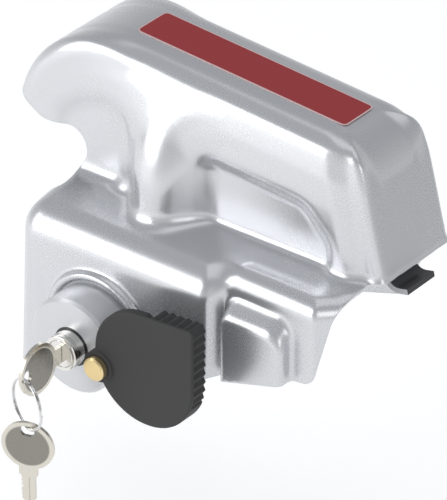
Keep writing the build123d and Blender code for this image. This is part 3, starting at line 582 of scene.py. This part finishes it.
def new_piece(name, points, faces):
    """A smooth-shaded mesh object from points in millimetres."""
    mesh = bpy.data.meshes.new(name)
    points = np.asarray(points) * MM
    faces = np.asarray(faces)
    corners = faces.shape[1]
    mesh.vertices.add(len(points))
    mesh.vertices.foreach_set("co", points.astype(np.float32).ravel())
    mesh.loops.add(faces.size)
    mesh.loops.foreach_set("vertex_index", faces.astype(np.int32).ravel())
    mesh.polygons.add(len(faces))
    mesh.polygons.foreach_set("loop_start", np.arange(0, faces.size, corners, dtype=np.int32))
    mesh.update(calc_edges=True)
    mesh.validate()
    mesh.shade_smooth()
    piece = bpy.data.objects.new(name, mesh)
    bpy.context.scene.collection.objects.link(piece)
    return piece


def net_piece(name, distance, low, high, step, rounds=2):
    """A closed mesh object of a distance's zero surface."""
    points, quads = surface_net(distance, low, high, step)
    points = relax(distance, settle(distance, points, 2), quads, rounds)
    return new_piece(name, points, quads)


# ---- materials --------------------------------------------------------------
def node_group(name, inputs, outputs):
    """An empty shader group with float, vector or colour sockets."""
    tree = bpy.data.node_groups.new(name, "ShaderNodeTree")
    for socket_name, kind, value in inputs:
        socket = tree.interface.new_socket(socket_name, in_out="INPUT", socket_type=kind)
        socket.default_value = value
    for socket_name, kind in outputs:
        tree.interface.new_socket(socket_name, in_out="OUTPUT", socket_type=kind)
    source = tree.nodes.new("NodeGroupInput")
    sink = tree.nodes.new("NodeGroupOutput")
    return tree, source, sink


def add_node(tree, kind, inputs=(), **settings):
    """A node with its settings, and its inputs linked or set by name or number."""
    node = tree.nodes.new(kind)
    for key, value in settings.items():
        setattr(node, key, value)
    for key, value in dict(inputs).items():
        if isinstance(value, bpy.types.NodeSocket):
            tree.links.new(value, node.inputs[key])
        else:
            node.inputs[key].default_value = value
    return node


def maths(tree, operation, a, b=0.0, c=0.0):
    """Result socket of a maths node."""
    inputs = {0: a, 1: b} if operation not in ("MULTIPLY_ADD", "SMOOTH_MIN") else {0: a, 1: b, 2: c}
    return add_node(tree, "ShaderNodeMath", inputs, operation=operation).outputs[0]


def vector_maths(tree, operation, a, b=(0.0, 0.0, 0.0)):
    """Result socket of a vector maths node."""
    node = add_node(tree, "ShaderNodeVectorMath", {0: a, 1: b}, operation=operation)
    return node.outputs["Value" if operation in ("LENGTH", "DOT_PRODUCT") else "Vector"]


def object_offset(tree, centre):
    """Object coordinates measured from a centre."""
    place = add_node(tree, "ShaderNodeTexCoord").outputs["Object"]
    return vector_maths(tree, "SUBTRACT", place, centre)


def surface_grain_group():
    """Fine grain: a height for bump and a mask for roughness, from Object coordinates."""
    tree, source, sink = node_group(
        "surface_grain",
        [("Scale", "NodeSocketFloat", 900.0), ("Stretch", "NodeSocketVector", (1, 1, 1)),
         ("Cloud Scale", "NodeSocketFloat", 22.0)],
        [("Grain", "NodeSocketFloat"), ("Cloud", "NodeSocketFloat")],
    )
    place = add_node(tree, "ShaderNodeTexCoord").outputs["Object"]
    stretched = vector_maths(tree, "MULTIPLY", place, source.outputs["Stretch"])
    fine = add_node(
        tree, "ShaderNodeTexNoise",
        {"Vector": stretched, "Scale": source.outputs["Scale"], "Detail": 3.0, "Roughness": 0.6},
    ).outputs["Fac"]
    broad = add_node(
        tree, "ShaderNodeTexNoise",
        {"Vector": place, "Scale": source.outputs["Cloud Scale"], "Detail": 2.0, "Roughness": 0.5},
    ).outputs["Fac"]
    tree.links.new(fine, sink.inputs["Grain"])
    tree.links.new(broad, sink.inputs["Cloud"])
    return tree


def finish_material(name, colour, metallic, roughness, grain=(900.0, (1, 1, 1), 22.0),
                    bump=(0.02, 0.00002), spread=0.06, shade=0.06, coat=0.0, specular=0.5):
    """A material with grain in its bump, and cloudy changes in its roughness and colour."""
    material = bpy.data.materials.new(name)
    material.use_nodes = True
    tree = material.node_tree
    shader = tree.nodes["Principled BSDF"]
    shader.inputs["Metallic"].default_value = metallic
    shader.inputs["Coat Weight"].default_value = coat
    shader.inputs["Coat Roughness"].default_value = 0.08
    shader.inputs["Specular IOR Level"].default_value = specular
    scale, stretch, cloud = grain
    texture = add_node(
        tree, "ShaderNodeGroup", node_tree=bpy.data.node_groups["surface_grain"]
    )
    texture.inputs["Scale"].default_value = scale
    texture.inputs["Stretch"].default_value = stretch
    texture.inputs["Cloud Scale"].default_value = cloud
    rough = maths(tree, "MULTIPLY_ADD", texture.outputs["Grain"], spread, roughness - spread / 2)
    rough = maths(tree, "MULTIPLY_ADD", texture.outputs["Cloud"], spread, maths(
        tree, "SUBTRACT", rough, spread / 2))
    tree.links.new(rough, shader.inputs["Roughness"])
    tone = maths(tree, "MULTIPLY_ADD", texture.outputs["Cloud"], shade, 1 - shade / 2)
    tinted = add_node(
        tree, "ShaderNodeVectorMath", {0: tuple(colour), "Scale": tone}, operation="SCALE"
    ).outputs[0]
    tree.links.new(tinted, shader.inputs["Base Color"])
    height = add_node(
        tree, "ShaderNodeBump",
        {"Strength": bump[0], "Distance": bump[1], "Height": texture.outputs["Grain"]},
    )
    tree.links.new(height.outputs["Normal"], shader.inputs["Normal"])
    return material


def mixed_colour(tree, mask, low, high):
    """Colour socket that goes from low, a colour or a socket, to high with a mask."""
    ends = [end if isinstance(end, bpy.types.NodeSocket) else (*end, 1) for end in (low, high)]
    return add_node(
        tree, "ShaderNodeMix", {"Factor": mask, "A": ends[0], "B": ends[1]}, data_type="RGBA",
    ).outputs["Result"]


def speckled_material(name, colour, speck):
    """Spark-grained plastic: a rough dark ground with small pale specks."""
    material = finish_material(
        name, colour, 0.0, 0.48, grain=(420.0, (1, 1, 1), 60.0), bump=(0.9, 0.0005),
        spread=0.2, shade=0.3, specular=0.3,
    )
    tree = material.node_tree
    shader = tree.nodes["Principled BSDF"]
    grain = next(node for node in tree.nodes if node.bl_idname == "ShaderNodeGroup")
    specks = add_node(tree, "ShaderNodeMapRange", {
        "Value": grain.outputs["Grain"], "From Min": 0.50, "From Max": 0.62,
    }).outputs["Result"]
    ground = shader.inputs["Base Color"].links[0].from_socket
    tree.links.new(mixed_colour(tree, specks, ground, speck), shader.inputs["Base Color"])
    return material


def cut_edge_material(name, enamel, steel):
    """Black enamel on the faces of a bent strip, bare steel on its cut edges across Y."""
    material = finish_material(name, enamel, 0.0, 0.4, bump=(0.2, 0.00003))
    tree = material.node_tree
    shader = tree.nodes["Principled BSDF"]
    normal = add_node(tree, "ShaderNodeNewGeometry").outputs["Normal"]
    sideways = add_node(tree, "ShaderNodeSeparateXYZ", {0: normal}).outputs["Y"]
    bare = maths(tree, "GREATER_THAN", maths(tree, "ABSOLUTE", sideways), 0.7)
    tree.links.new(mixed_colour(tree, bare, enamel, steel), shader.inputs["Base Color"])
    tree.links.new(bare, shader.inputs["Metallic"])
    return material


def bordered_material(name, ground, line, node):
    """Printed film with a pale line along its rounded edge."""
    material = finish_material(name, ground, 0.0, 0.45, bump=(0.03, 0.00001), specular=0.25)
    tree = material.node_tree
    shader = tree.nodes["Principled BSDF"]
    low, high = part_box(node)
    centre = ((low.x + high.x) / 2, (low.y + high.y) / 2, 0)
    half = ((high.x - low.x) / 2, (high.y - low.y) / 2)
    radius = LABEL_CORNER * MM
    size = vector_maths(tree, "ABSOLUTE", object_offset(tree, centre))
    past = vector_maths(tree, "SUBTRACT", size, (half[0] - radius, half[1] - radius, 1))
    reach = vector_maths(tree, "LENGTH", vector_maths(tree, "MAXIMUM", past))
    line_width = LABEL_LINE * MM * math.cos(math.atan(SPINE_FALL))
    mask = maths(tree, "GREATER_THAN", reach, radius - line_width)
    tree.links.new(mixed_colour(tree, mask, ground, line), shader.inputs["Base Color"])
    return material


def axis_offset(tree, centre):
    """Object coordinates measured square to an axis along Y."""
    return vector_maths(tree, "MULTIPLY", object_offset(tree, centre), (1, 0, 1))


def seated_material(name, colour, seal):
    """Boss enamel with the dark wiper ring showing where the lock cylinder comes through."""
    metallic = 0.6
    material = finish_material(
        name, colour, metallic, 0.33, grain=(2600.0, (1, 1, 1), 14.0), bump=(0.02, 0.000004),
        spread=0.03, shade=0.03,
    )
    tree = material.node_tree
    shader = tree.nodes["Principled BSDF"]
    reach = vector_maths(tree, "LENGTH", axis_offset(tree, (LOCK_X * MM, 0, LOCK_Z * MM)))
    ring = maths(tree, "LESS_THAN", reach, WIPER_RADIUS * MM)
    tree.links.new(mixed_colour(tree, ring, colour, seal), shader.inputs["Base Color"])
    bare = maths(tree, "MULTIPLY_ADD", ring, -metallic, metallic)
    tree.links.new(bare, shader.inputs["Metallic"])
    return material


def spun_sheen_material(name, colour, node):
    """Brass faced on a lathe, with a painted reflection: bright and dark sectors painted into the
    colour round the middle of the head.
    """
    material = finish_material(name, colour, 1.0, 0.3)
    tree = material.node_tree
    shader = tree.nodes["Principled BSDF"]
    low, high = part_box(node)
    flat = axis_offset(tree, ((low.x + high.x) / 2, 0, (low.z + high.z) / 2))
    parts = add_node(tree, "ShaderNodeSeparateXYZ", {0: flat})
    # Painted reflection: three bright and three dark sectors in the base colour stand in for the
    # sheen of the turned face.
    angle = maths(tree, "ARCTAN2", parts.outputs["Z"], parts.outputs["X"])
    painted_sheen_sector = maths(tree, "SINE", maths(tree, "MULTIPLY_ADD", angle, 3.0, 0.6))
    tone = maths(tree, "MULTIPLY_ADD", painted_sheen_sector, 0.5, 0.5)
    painted_shade = tuple(0.45 * part for part in colour)
    tree.links.new(mixed_colour(tree, tone, painted_shade, colour), shader.inputs["Base Color"])
    return material


def bow_shade_material(name, colour, centre, along, across):
    """Nickel silver with painted shade: the sunk face inside the bow's raised rim is darkened in
    the colour.
    """
    material = finish_material(
        name, colour, 1.0, 0.26, grain=(900.0, (1, 1, 0.2), 90.0), bump=(0.15, 0.00002),
        spread=0.12, shade=0.2,
    )
    tree = material.node_tree
    shader = tree.nodes["Principled BSDF"]
    offset = object_offset(tree, centre)
    shares = [
        vector_maths(
            tree, "DOT_PRODUCT", offset, tuple(part / (length / 2 * MM) for part in direction))
        for direction, length in ((along, BOW[0]), (across, BOW[1]))
    ]
    flat = add_node(tree, "ShaderNodeCombineXYZ", {"X": shares[0], "Y": shares[1]}).outputs[0]
    reach = vector_maths(tree, "LENGTH", flat)
    sunk_and_shade = add_node(tree, "ShaderNodeMapRange", {
        "Value": reach, "From Min": 0.80, "From Max": 0.88, "To Min": 1.0, "To Max": 0.0,
    }, interpolation_type="SMOOTHSTEP").outputs["Result"]
    # Painted shade: the sunk face's colour is darkened to stand in for the shade in the recess.
    painted_shade = tuple(0.40 * part for part in colour)
    tree.links.new(mixed_colour(tree, sunk_and_shade, colour, painted_shade), shader.inputs["Base Color"])
    normal = shader.inputs["Normal"].links[0].from_socket
    step = add_node(tree, "ShaderNodeBump", {
        "Strength": 0.6, "Distance": 0.0004, "Height": maths(tree, "SUBTRACT", 1.0, sunk_and_shade),
        "Normal": normal,
    })
    tree.links.new(step.outputs["Normal"], shader.inputs["Normal"])
    return material


# ---- the split ring, from a node tree ---------------------------------------
def coil_tree():
    """Wire wound in flat turns that step sideways where they meet."""
    tree = bpy.data.node_groups.new("split_coil", "GeometryNodeTree")
    tree.is_modifier = True
    sockets = {}
    for name, kind, value in (
        ("Radius", "NodeSocketFloat", 0.014), ("Wire Radius", "NodeSocketFloat", 0.0005),
        ("Step", "NodeSocketFloat", 0.001), ("Turns", "NodeSocketFloat", 2.0),
        ("Points", "NodeSocketInt", 193), ("Turned", "NodeSocketFloat", 0.0),
        ("Centre", "NodeSocketVector", (0, 0, 0)), ("Material", "NodeSocketMaterial", None),
    ):
        sockets[name] = tree.interface.new_socket(name, in_out="INPUT", socket_type=kind)
        if value is not None:
            sockets[name].default_value = value
    tree.interface.new_socket("Geometry", in_out="OUTPUT", socket_type="NodeSocketGeometry")
    source = tree.nodes.new("NodeGroupInput").outputs
    sink = tree.nodes.new("NodeGroupOutput")
    line = add_node(tree, "GeometryNodeMeshLine", {"Count": source["Points"]})
    path = add_node(tree, "GeometryNodeMeshToCurve", {"Mesh": line.outputs["Mesh"]})
    along = add_node(tree, "GeometryNodeSplineParameter").outputs["Factor"]
    angle = maths(tree, "MULTIPLY", maths(tree, "MULTIPLY", along, source["Turns"]), math.tau)
    across = add_node(
        tree, "ShaderNodeMapRange",
        {"Value": along, "From Min": 0.44, "From Max": 0.56, "To Min": -0.5, "To Max": 0.5},
        interpolation_type="SMOOTHSTEP",
    ).outputs["Result"]
    place = add_node(tree, "ShaderNodeCombineXYZ", {
        "X": maths(tree, "MULTIPLY", maths(tree, "COSINE", angle), source["Radius"]),
        "Y": maths(tree, "MULTIPLY", across, source["Step"]),
        "Z": maths(tree, "MULTIPLY", maths(tree, "SINE", angle), source["Radius"]),
    }).outputs["Vector"]
    path = add_node(tree, "GeometryNodeSetPosition", {
        "Geometry": path.outputs["Curve"], "Position": place,
    })
    wire = add_node(tree, "GeometryNodeCurvePrimitiveCircle", {
        "Resolution": 14, "Radius": source["Wire Radius"],
    })
    coil = add_node(tree, "GeometryNodeCurveToMesh", {
        "Curve": path.outputs["Geometry"], "Profile Curve": wire.outputs["Curve"],
        "Fill Caps": True,
    })
    turn = add_node(tree, "ShaderNodeCombineXYZ", {"Z": source["Turned"]}).outputs["Vector"]
    placed = add_node(tree, "GeometryNodeTransform", {
        "Geometry": coil.outputs["Mesh"], "Translation": source["Centre"], "Rotation": turn,
    })
    real = add_node(tree, "GeometryNodeRealizeInstances", {
        "Geometry": placed.outputs["Geometry"],
    })
    done = add_node(tree, "GeometryNodeSetMaterial", {
        "Geometry": real.outputs["Geometry"], "Material": source["Material"],
    })
    tree.links.new(done.outputs["Geometry"], sink.inputs["Geometry"])
    return tree, {name: socket.identifier for name, socket in sockets.items()}


CAP_GAP = 0.3          # between the boss's face and the cap
CAP_PLATE = 5.2        # thickness of the cap's face
CAP_GRIP = 12.0        # and of its grip, over the same face
GRIP_START = 51.5      # from the pin's axis to the grip
TOOTH_START = 1.4      # behind the face, where the teeth begin
HUB = (9.0, 6.6)       # radius and height of the hub round the pin
PIN_HOLE = 3.06
SEAL_HOLE = 12.52


class CapForm:
    """The dust cap as a distance, in millimetres."""

    def __init__(self, sizes):
        pin_low, pin_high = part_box("cap_pivot_pin")
        seal_low, seal_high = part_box("cap_seal")
        self.low, self.high = (Vector(corner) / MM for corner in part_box("dust_cap"))
        self.pivot = ((pin_low.x + pin_high.x) / 2 / MM, (pin_low.z + pin_high.z) / 2 / MM)
        self.seal = ((seal_low.x + seal_high.x) / 2 / MM, (seal_low.z + seal_high.z) / 2 / MM)
        self.seal_face = seal_low.y / MM
        self.face = BOSS_FACE - CAP_GAP - CAP_PLATE
        self.pitch, self.tooth = sizes.tooth_pitch / MM, sizes.tooth_depth / MM
        self.edge = sizes.edge / MM
        self.outline = rounded([
            (-26.0, -159.8, 31.3), (37.0, -159.8, 30.5), (37.3, -92.7, 2.2), (-26.0, -97.0, 30.0),
        ], 18)

    def slab(self, y, thickness, proud=0.0):
        """Distance to a layer that starts proud of the face and goes back from there."""
        return np.abs(y - self.face + proud - thickness / 2) - thickness / 2

    def surface(self, x, y, z):
        """Signed distance to the cap's surface."""
        outline = outline_distance(self.outline, x, z)
        behind = smooth_step(self.face + TOOTH_START, self.face + TOOTH_START + 0.6, y)
        wave = np.abs(2 * np.mod(z / self.pitch, 1.0) - 1)
        side = smooth_step(33.0, 33.6, x) * smooth_step(-141.0, -139.0, z)
        top_wave = np.abs(2 * np.mod((x + 1.2) / self.pitch, 1.0) - 1)
        top = smooth_step(-98.5, -97.9, z) * smooth_step(6.0, 7.0, x) * (1 - side)
        teeth = self.tooth * behind * (wave * side + top_wave * top)
        edge = outline + teeth
        from_pivot = np.hypot(x - self.pivot[0], z - self.pivot[1])
        plate = round_both(edge, self.slab(y, CAP_PLATE), self.edge)
        grip = np.maximum(edge, GRIP_START - from_pivot)
        grip = round_both(grip, self.slab(y, CAP_GRIP), self.edge)
        body = np.minimum(plate, grip)
        hub = round_both(from_pivot - HUB[0], self.slab(y, HUB[1], 1.4), 0.5)
        body = blend_either(body, hub, 0.8)
        body = np.maximum(body, PIN_HOLE - from_pivot)
        from_seal = np.hypot(x - self.seal[0], z - self.seal[1])
        recess = np.maximum(from_seal - SEAL_HOLE, self.seal_face - 0.02 - y)
        return np.maximum(body, -recess)


def paint_cad(node, material):
    """Give a carried-over CAD piece its material."""
    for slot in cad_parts[node].material_slots:
        slot.material = material


def grained(scale, stretch, cloud, bump, spread, shade):
    """Details of a finish: its grain, bump, and changes in roughness and colour."""
    return {"grain": (scale, stretch, cloud), "bump": bump, "spread": spread, "shade": shade}


EVEN = (1, 1, 1)
PLAIN_FINISHES = (
    ("cover_enamel", "paint", 0.72, 0.27, grained(2600, EVEN, 14, (0.02, 0.000004), 0.03, 0.03)),
    ("barrel_nickel", "nickel", 1.0, 0.2,
     grained(1500, (1, 0.15, 1), 60, (0.1, 0.00001), 0.08, 0.1)),
    ("ring_nickel", "nickel", 1.0, 0.16, grained(1200, EVEN, 70, (0.05, 0.00001), 0.08, 0.1)),
    ("bush_brass", "brass", 1.0, 0.24, grained(1500, EVEN, 90, (0.15, 0.00001), 0.1, 0.12)),
    ("plain_steel", "steel", 1.0, 0.35,
     grained(1200, (1, 0.2, 1), 60, (0.1, 0.00002), 0.1, 0.15)),
    ("seal_rubber", "black", 0.0, 0.7, grained(1400, EVEN, 60, (0.2, 0.00005), 0.1, 0.2)),
)


# ---- operators --------------------------------------------------------------
class CouplerBuildFinishes(Operator):
    """Make the finishes that the pieces share"""
    bl_idname = "coupler.build_finishes"
    bl_label = "Finishes"

    def execute(self, context):
        colours = context.scene.coupler_colours
        surface_grain_group()
        for name, colour, metallic, roughness, details in PLAIN_FINISHES:
            finish_material(name, getattr(colours, colour), metallic, roughness, **details)
        seated_material("boss_enamel", colours.paint, colours.black)
        low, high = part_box("key")
        middle = ((low.x + high.x) / 2, low.y + BOW[0] / 2 * MM, (low.z + high.z) / 2)
        bow_shade_material("key_nickel_silver", colours.key, middle, (0, 1, 0), (0, 0, 1))
        low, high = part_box("spare_key")
        middle = ((low.x + high.x) / 2, (low.y + high.y) / 2, high.z - BOW[0] / 2 * MM)
        across = (math.cos(SPARE_TURN), math.sin(SPARE_TURN), 0)
        bow_shade_material("spare_nickel_silver", colours.key, middle, (0, 0, 1), across)
        spun_sheen_material("pin_brass", colours.brass, "cap_pivot_pin")
        speckled_material("cap_plastic", colours.cap, (0.13, 0.13, 0.135))
        cut_edge_material("hook_black", colours.black, colours.steel)
        bordered_material("label_red", colours.label, colours.label_line, "label")
        return {"FINISHED"}


class CouplerBuildCover(Operator):
    """Make the drawn sheet cover"""
    bl_idname = "coupler.build_cover"
    bl_label = "Cover"

    def execute(self, context):
        sizes = context.scene.coupler_cover
        form = CoverForm(sizes)
        low, high = ((Vector(corner) / MM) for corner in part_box("shell"))
        grid = sizes.grid / MM
        margin = 2.5 * grid
        points, quads = surface_net(
            form.surface, [low.x - margin, low.y - margin - 6, low.z - margin],
            [high.x + margin, high.y + margin, high.z + margin], grid,
        )
        points = relax(form.surface, settle(form.surface, points, 2), quads, 2)
        triangles = np.concatenate([quads[:, [0, 1, 2]], quads[:, [0, 2, 3]]])
        points, triangles = clip_net(points, triangles, form.kept, form.surface)
        points, triangles = largest_part(points, triangles)
        points, triangles = sheet_solid(
            points, triangles, form.surface, sizes.sheet / MM, sizes.rim / MM
        )
        piece = new_piece("drawn_cover", points, triangles)
        piece.data.materials.append(bpy.data.materials["cover_enamel"])
        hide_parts("shell")
        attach(piece, "cover")
        return {"FINISHED"}


class CouplerBuildCap(Operator):
    """Make the moulded dust cap"""
    bl_idname = "coupler.build_cap"
    bl_label = "Dust cap"

    def execute(self, context):
        sizes = context.scene.coupler_cap
        form = CapForm(sizes)
        grid = sizes.grid / MM
        low = [edge - 2 * grid for edge in form.low]
        high = [edge + 2 * grid for edge in form.high]
        piece = net_piece("moulded_cap", form.surface, low, high, grid, 1)
        piece.data.materials.append(bpy.data.materials["cap_plastic"])
        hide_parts("dust_cap")
        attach(piece, "cap")
        return {"FINISHED"}


class CouplerBuildRing(Operator):
    """Wind the split ring"""
    bl_idname = "coupler.build_ring"
    bl_label = "Split ring"

    def execute(self, context):
        sizes = context.scene.coupler_ring
        low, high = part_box("key_ring")
        tree, sockets = coil_tree()
        carrier = bpy.data.objects.new("ring_carrier", bpy.data.meshes.new("ring_carrier"))
        context.scene.collection.objects.link(carrier)
        modifier = carrier.modifiers.new("coil", "NODES")
        modifier.node_group = tree
        for name, value in (
            ("Radius", (high.z - low.z) / 2 - RING_WIRE * MM), ("Wire Radius", sizes.wire),
            ("Step", sizes.step), ("Turns", float(sizes.turns)), ("Points", sizes.points),
            ("Turned", sizes.turned), ("Centre", tuple((low + high) / 2)),
            ("Material", bpy.data.materials["ring_nickel"]),
        ):
            modifier[sockets[name]] = value
        depsgraph = context.evaluated_depsgraph_get()
        mesh = bpy.data.meshes.new_from_object(carrier.evaluated_get(depsgraph))
        bpy.data.objects.remove(carrier)
        mesh.shade_smooth()
        piece = bpy.data.objects.new("coiled_ring", mesh)
        context.scene.collection.objects.link(piece)
        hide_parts("key_ring")
        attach(piece, "ring")
        return {"FINISHED"}


CAD_FINISHES = {
    "boss_enamel": ["lock_housing"],
    "barrel_nickel": ["lock_barrel", "lock_plug"],
    "key_nickel_silver": ["key"],
    "spare_nickel_silver": ["spare_key"],
    "ring_nickel": ["key_ring"],
    "pin_brass": ["cap_pivot_pin"],
    "bush_brass": ["guide_bush", "wafers"],
    "plain_steel": [
        "backing_plate", "housing_screws", "guide_screw", "locking_bolt", "bolt_roll_pin",
        "return_spring", "wafer_springs", "plug_clip", "driver_cam", "detent_pin", "detent_spring",
        "cap_washer",
    ],
    "cap_plastic": ["dust_cap"],
    "seal_rubber": ["cap_seal", "barrel_o_ring"],
    "hook_black": ["front_hook"],
    "label_red": ["label"],
}


class CouplerFinishFrame(Operator):
    """Give every carried-over piece its finish"""
    bl_idname = "coupler.finish_frame"
    bl_label = "Frame finishes"

    def execute(self, context):
        for finish, nodes in CAD_FINISHES.items():
            for node in nodes:
                paint_cad(node, bpy.data.materials[finish])
        return {"FINISHED"}


# name, direction from the object, distance in m, sides in m, power in W
LAMPS = (
    ("key_softbox", (-0.58, -0.74, 0.30), 1.8, (1.3, 1.1), 13.0),
    ("front_fill", (0.80, -0.50, 0.40), 2.2, (0.9, 0.9), 4.0),
    ("floor_wash", (0.1, 0.1, 1.0), 2.4, (2.2, 2.2), 8.0),
)
FLOOR_REACH = 3.0            # half the floor's side, m
AIM = (-15.65, -92.3)        # of the camera from the spine's top, right and up, mm


class CouplerBuildStage(Operator):
    """Set out the floor, lights and camera"""
    bl_idname = "coupler.build_stage"
    bl_label = "Stage"

    def execute(self, context):
        stage = context.scene.coupler_stage
        floor_z = CAD_BOX[0][2] - stage.floor_gap
        mesh = bpy.data.meshes.new("floor")
        corners = [(-1, -1), (1, -1), (1, 1), (-1, 1)]
        corners = [(FLOOR_REACH * x, FLOOR_REACH * y, floor_z) for x, y in corners]
        mesh.from_pydata(corners, [], [(0, 1, 2, 3)])
        floor = bpy.data.objects.new("floor", mesh)
        context.scene.collection.objects.link(floor)
        material = bpy.data.materials.new("floor_pale")
        material.use_nodes = True
        shader = material.node_tree.nodes["Principled BSDF"]
        shader.inputs["Base Color"].default_value = (0.9, 0.9, 0.9, 1)
        shader.inputs["Roughness"].default_value = 0.9
        shader.inputs["Emission Color"].default_value = (1, 1, 1, 1)
        tree = material.node_tree
        place = add_node(tree, "ShaderNodeTexCoord").outputs["Object"]
        rearwards = vector_maths(tree, "DOT_PRODUCT", place, (0.74, 0.67, 0))
        glow = add_node(tree, "ShaderNodeMapRange", {
            "Value": rearwards, "From Min": 0.30, "From Max": 0.75, "To Min": 0.40, "To Max": 0.0,
        }, interpolation_type="SMOOTHSTEP").outputs["Result"]
        tree.links.new(glow, shader.inputs["Emission Strength"])
        mesh.materials.append(material)
        floor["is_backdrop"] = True
        self.light_world(context)
        target = Vector((0, 0, -0.09))
        for name, direction, distance, size, power in LAMPS:
            light = bpy.data.lights.new(name, "AREA")
            light.shape = "RECTANGLE"
            light.size, light.size_y = size
            light.energy = power
            lamp = bpy.data.objects.new(name, light)
            place = target + Vector(direction).normalized() * distance
            aimed = (place - target).to_track_quat("Z", "Y").to_matrix().to_4x4()
            lamp.matrix_world = Matrix.Translation(place) @ aimed
            context.scene.collection.objects.link(lamp)
        self.place_camera(context, stage)
        context.scene.view_settings.view_transform = "Standard"
        return {"FINISHED"}

    def light_world(self, context):
        """A world that is light at the horizon and greyer overhead."""
        world = bpy.data.worlds.new("studio")
        world.use_nodes = True
        context.scene.world = world
        tree = world.node_tree
        place = add_node(tree, "ShaderNodeTexCoord").outputs["Generated"]
        height = add_node(tree, "ShaderNodeSeparateXYZ", {0: place}).outputs["Z"]
        ramp = add_node(tree, "ShaderNodeValToRGB", {0: height})
        ramp.color_ramp.elements[0].position = 0.0
        ramp.color_ramp.elements[0].color = (0.75, 0.75, 0.76, 1)
        ramp.color_ramp.elements[1].position = 0.6
        ramp.color_ramp.elements[1].color = (0.42, 0.43, 0.45, 1)
        background = tree.nodes["Background"]
        tree.links.new(ramp.outputs[0], background.inputs["Color"])
        background.inputs["Strength"].default_value = 1.0

    def place_camera(self, context, stage):
        """The camera at the view's angle."""
        a, e = stage.azimuth, stage.elevation
        right = Vector((math.cos(a), math.sin(a), 0))
        back = Vector((math.sin(a) * math.cos(e), -math.cos(a) * math.cos(e), math.sin(e)))
        up = back.cross(right)
        aim = Vector((0, 0, SPINE_TOP * MM)) + AIM[0] * MM * right + AIM[1] * MM * up
        place = aim + back * stage.distance
        camera = bpy.data.cameras.new("camera")
        camera.lens = stage.lens
        camera.sensor_width = 36.0
        camera.sensor_fit = "AUTO"
        camera.clip_start = 0.05
        camera.clip_end = 20.0
        eye = bpy.data.objects.new("camera", camera)
        turn = Matrix((right, up, back)).transposed()
        eye.matrix_world = Matrix.Translation(place) @ turn.to_4x4()
        context.scene.collection.objects.link(eye)
        context.scene.camera = eye


class CouplerPanel(Panel):
    """Sidebar panel that lists the pieces"""
    bl_idname = "VIEW3D_PT_coupler_lock"
    bl_label = "Coupler Lock"
    bl_space_type = "VIEW_3D"
    bl_region_type = "UI"
    bl_category = "Coupler Lock"

    def draw(self, context):
        layout = self.layout
        for step in STEPS:
            layout.operator(step.bl_idname)
        for group in (getattr(context.scene, name) for name in GROUPS):
            for key in group.bl_rna.properties.keys():
                if key not in ("rna_type", "name"):
                    layout.prop(group, key)


STEPS = (
    CouplerBuildFinishes, CouplerBuildCover, CouplerBuildCap, CouplerBuildRing, CouplerFinishFrame,
    CouplerBuildStage,
)
GROUPS = {
    "coupler_cover": CouplerCoverSizes,
    "coupler_cap": CouplerCapSizes,
    "coupler_ring": CouplerRingSizes,
    "coupler_colours": CouplerColours,
    "coupler_stage": CouplerStage,
}


def register():
    for group in GROUPS.values():
        bpy.utils.register_class(group)
    for name, group in GROUPS.items():
        setattr(bpy.types.Scene, name, PointerProperty(type=group))
    for item in (*STEPS, CouplerPanel):
        bpy.utils.register_class(item)


def unregister():
    for item in reversed((*STEPS, CouplerPanel)):
        bpy.utils.unregister_class(item)
    for name in GROUPS:
        delattr(bpy.types.Scene, name)
    for group in reversed(GROUPS.values()):
        bpy.utils.unregister_class(group)


def main():
    register()
    for step in STEPS:
        family, name = step.bl_idname.split(".")
        getattr(getattr(bpy.ops, family), name)()
    boxes = {"cad": CAD_BOX, "visual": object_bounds()}
    boxes = {key: [list(map(float, corner)) for corner in box] for key, box in boxes.items()}


if __name__ == "__main__":
    main()
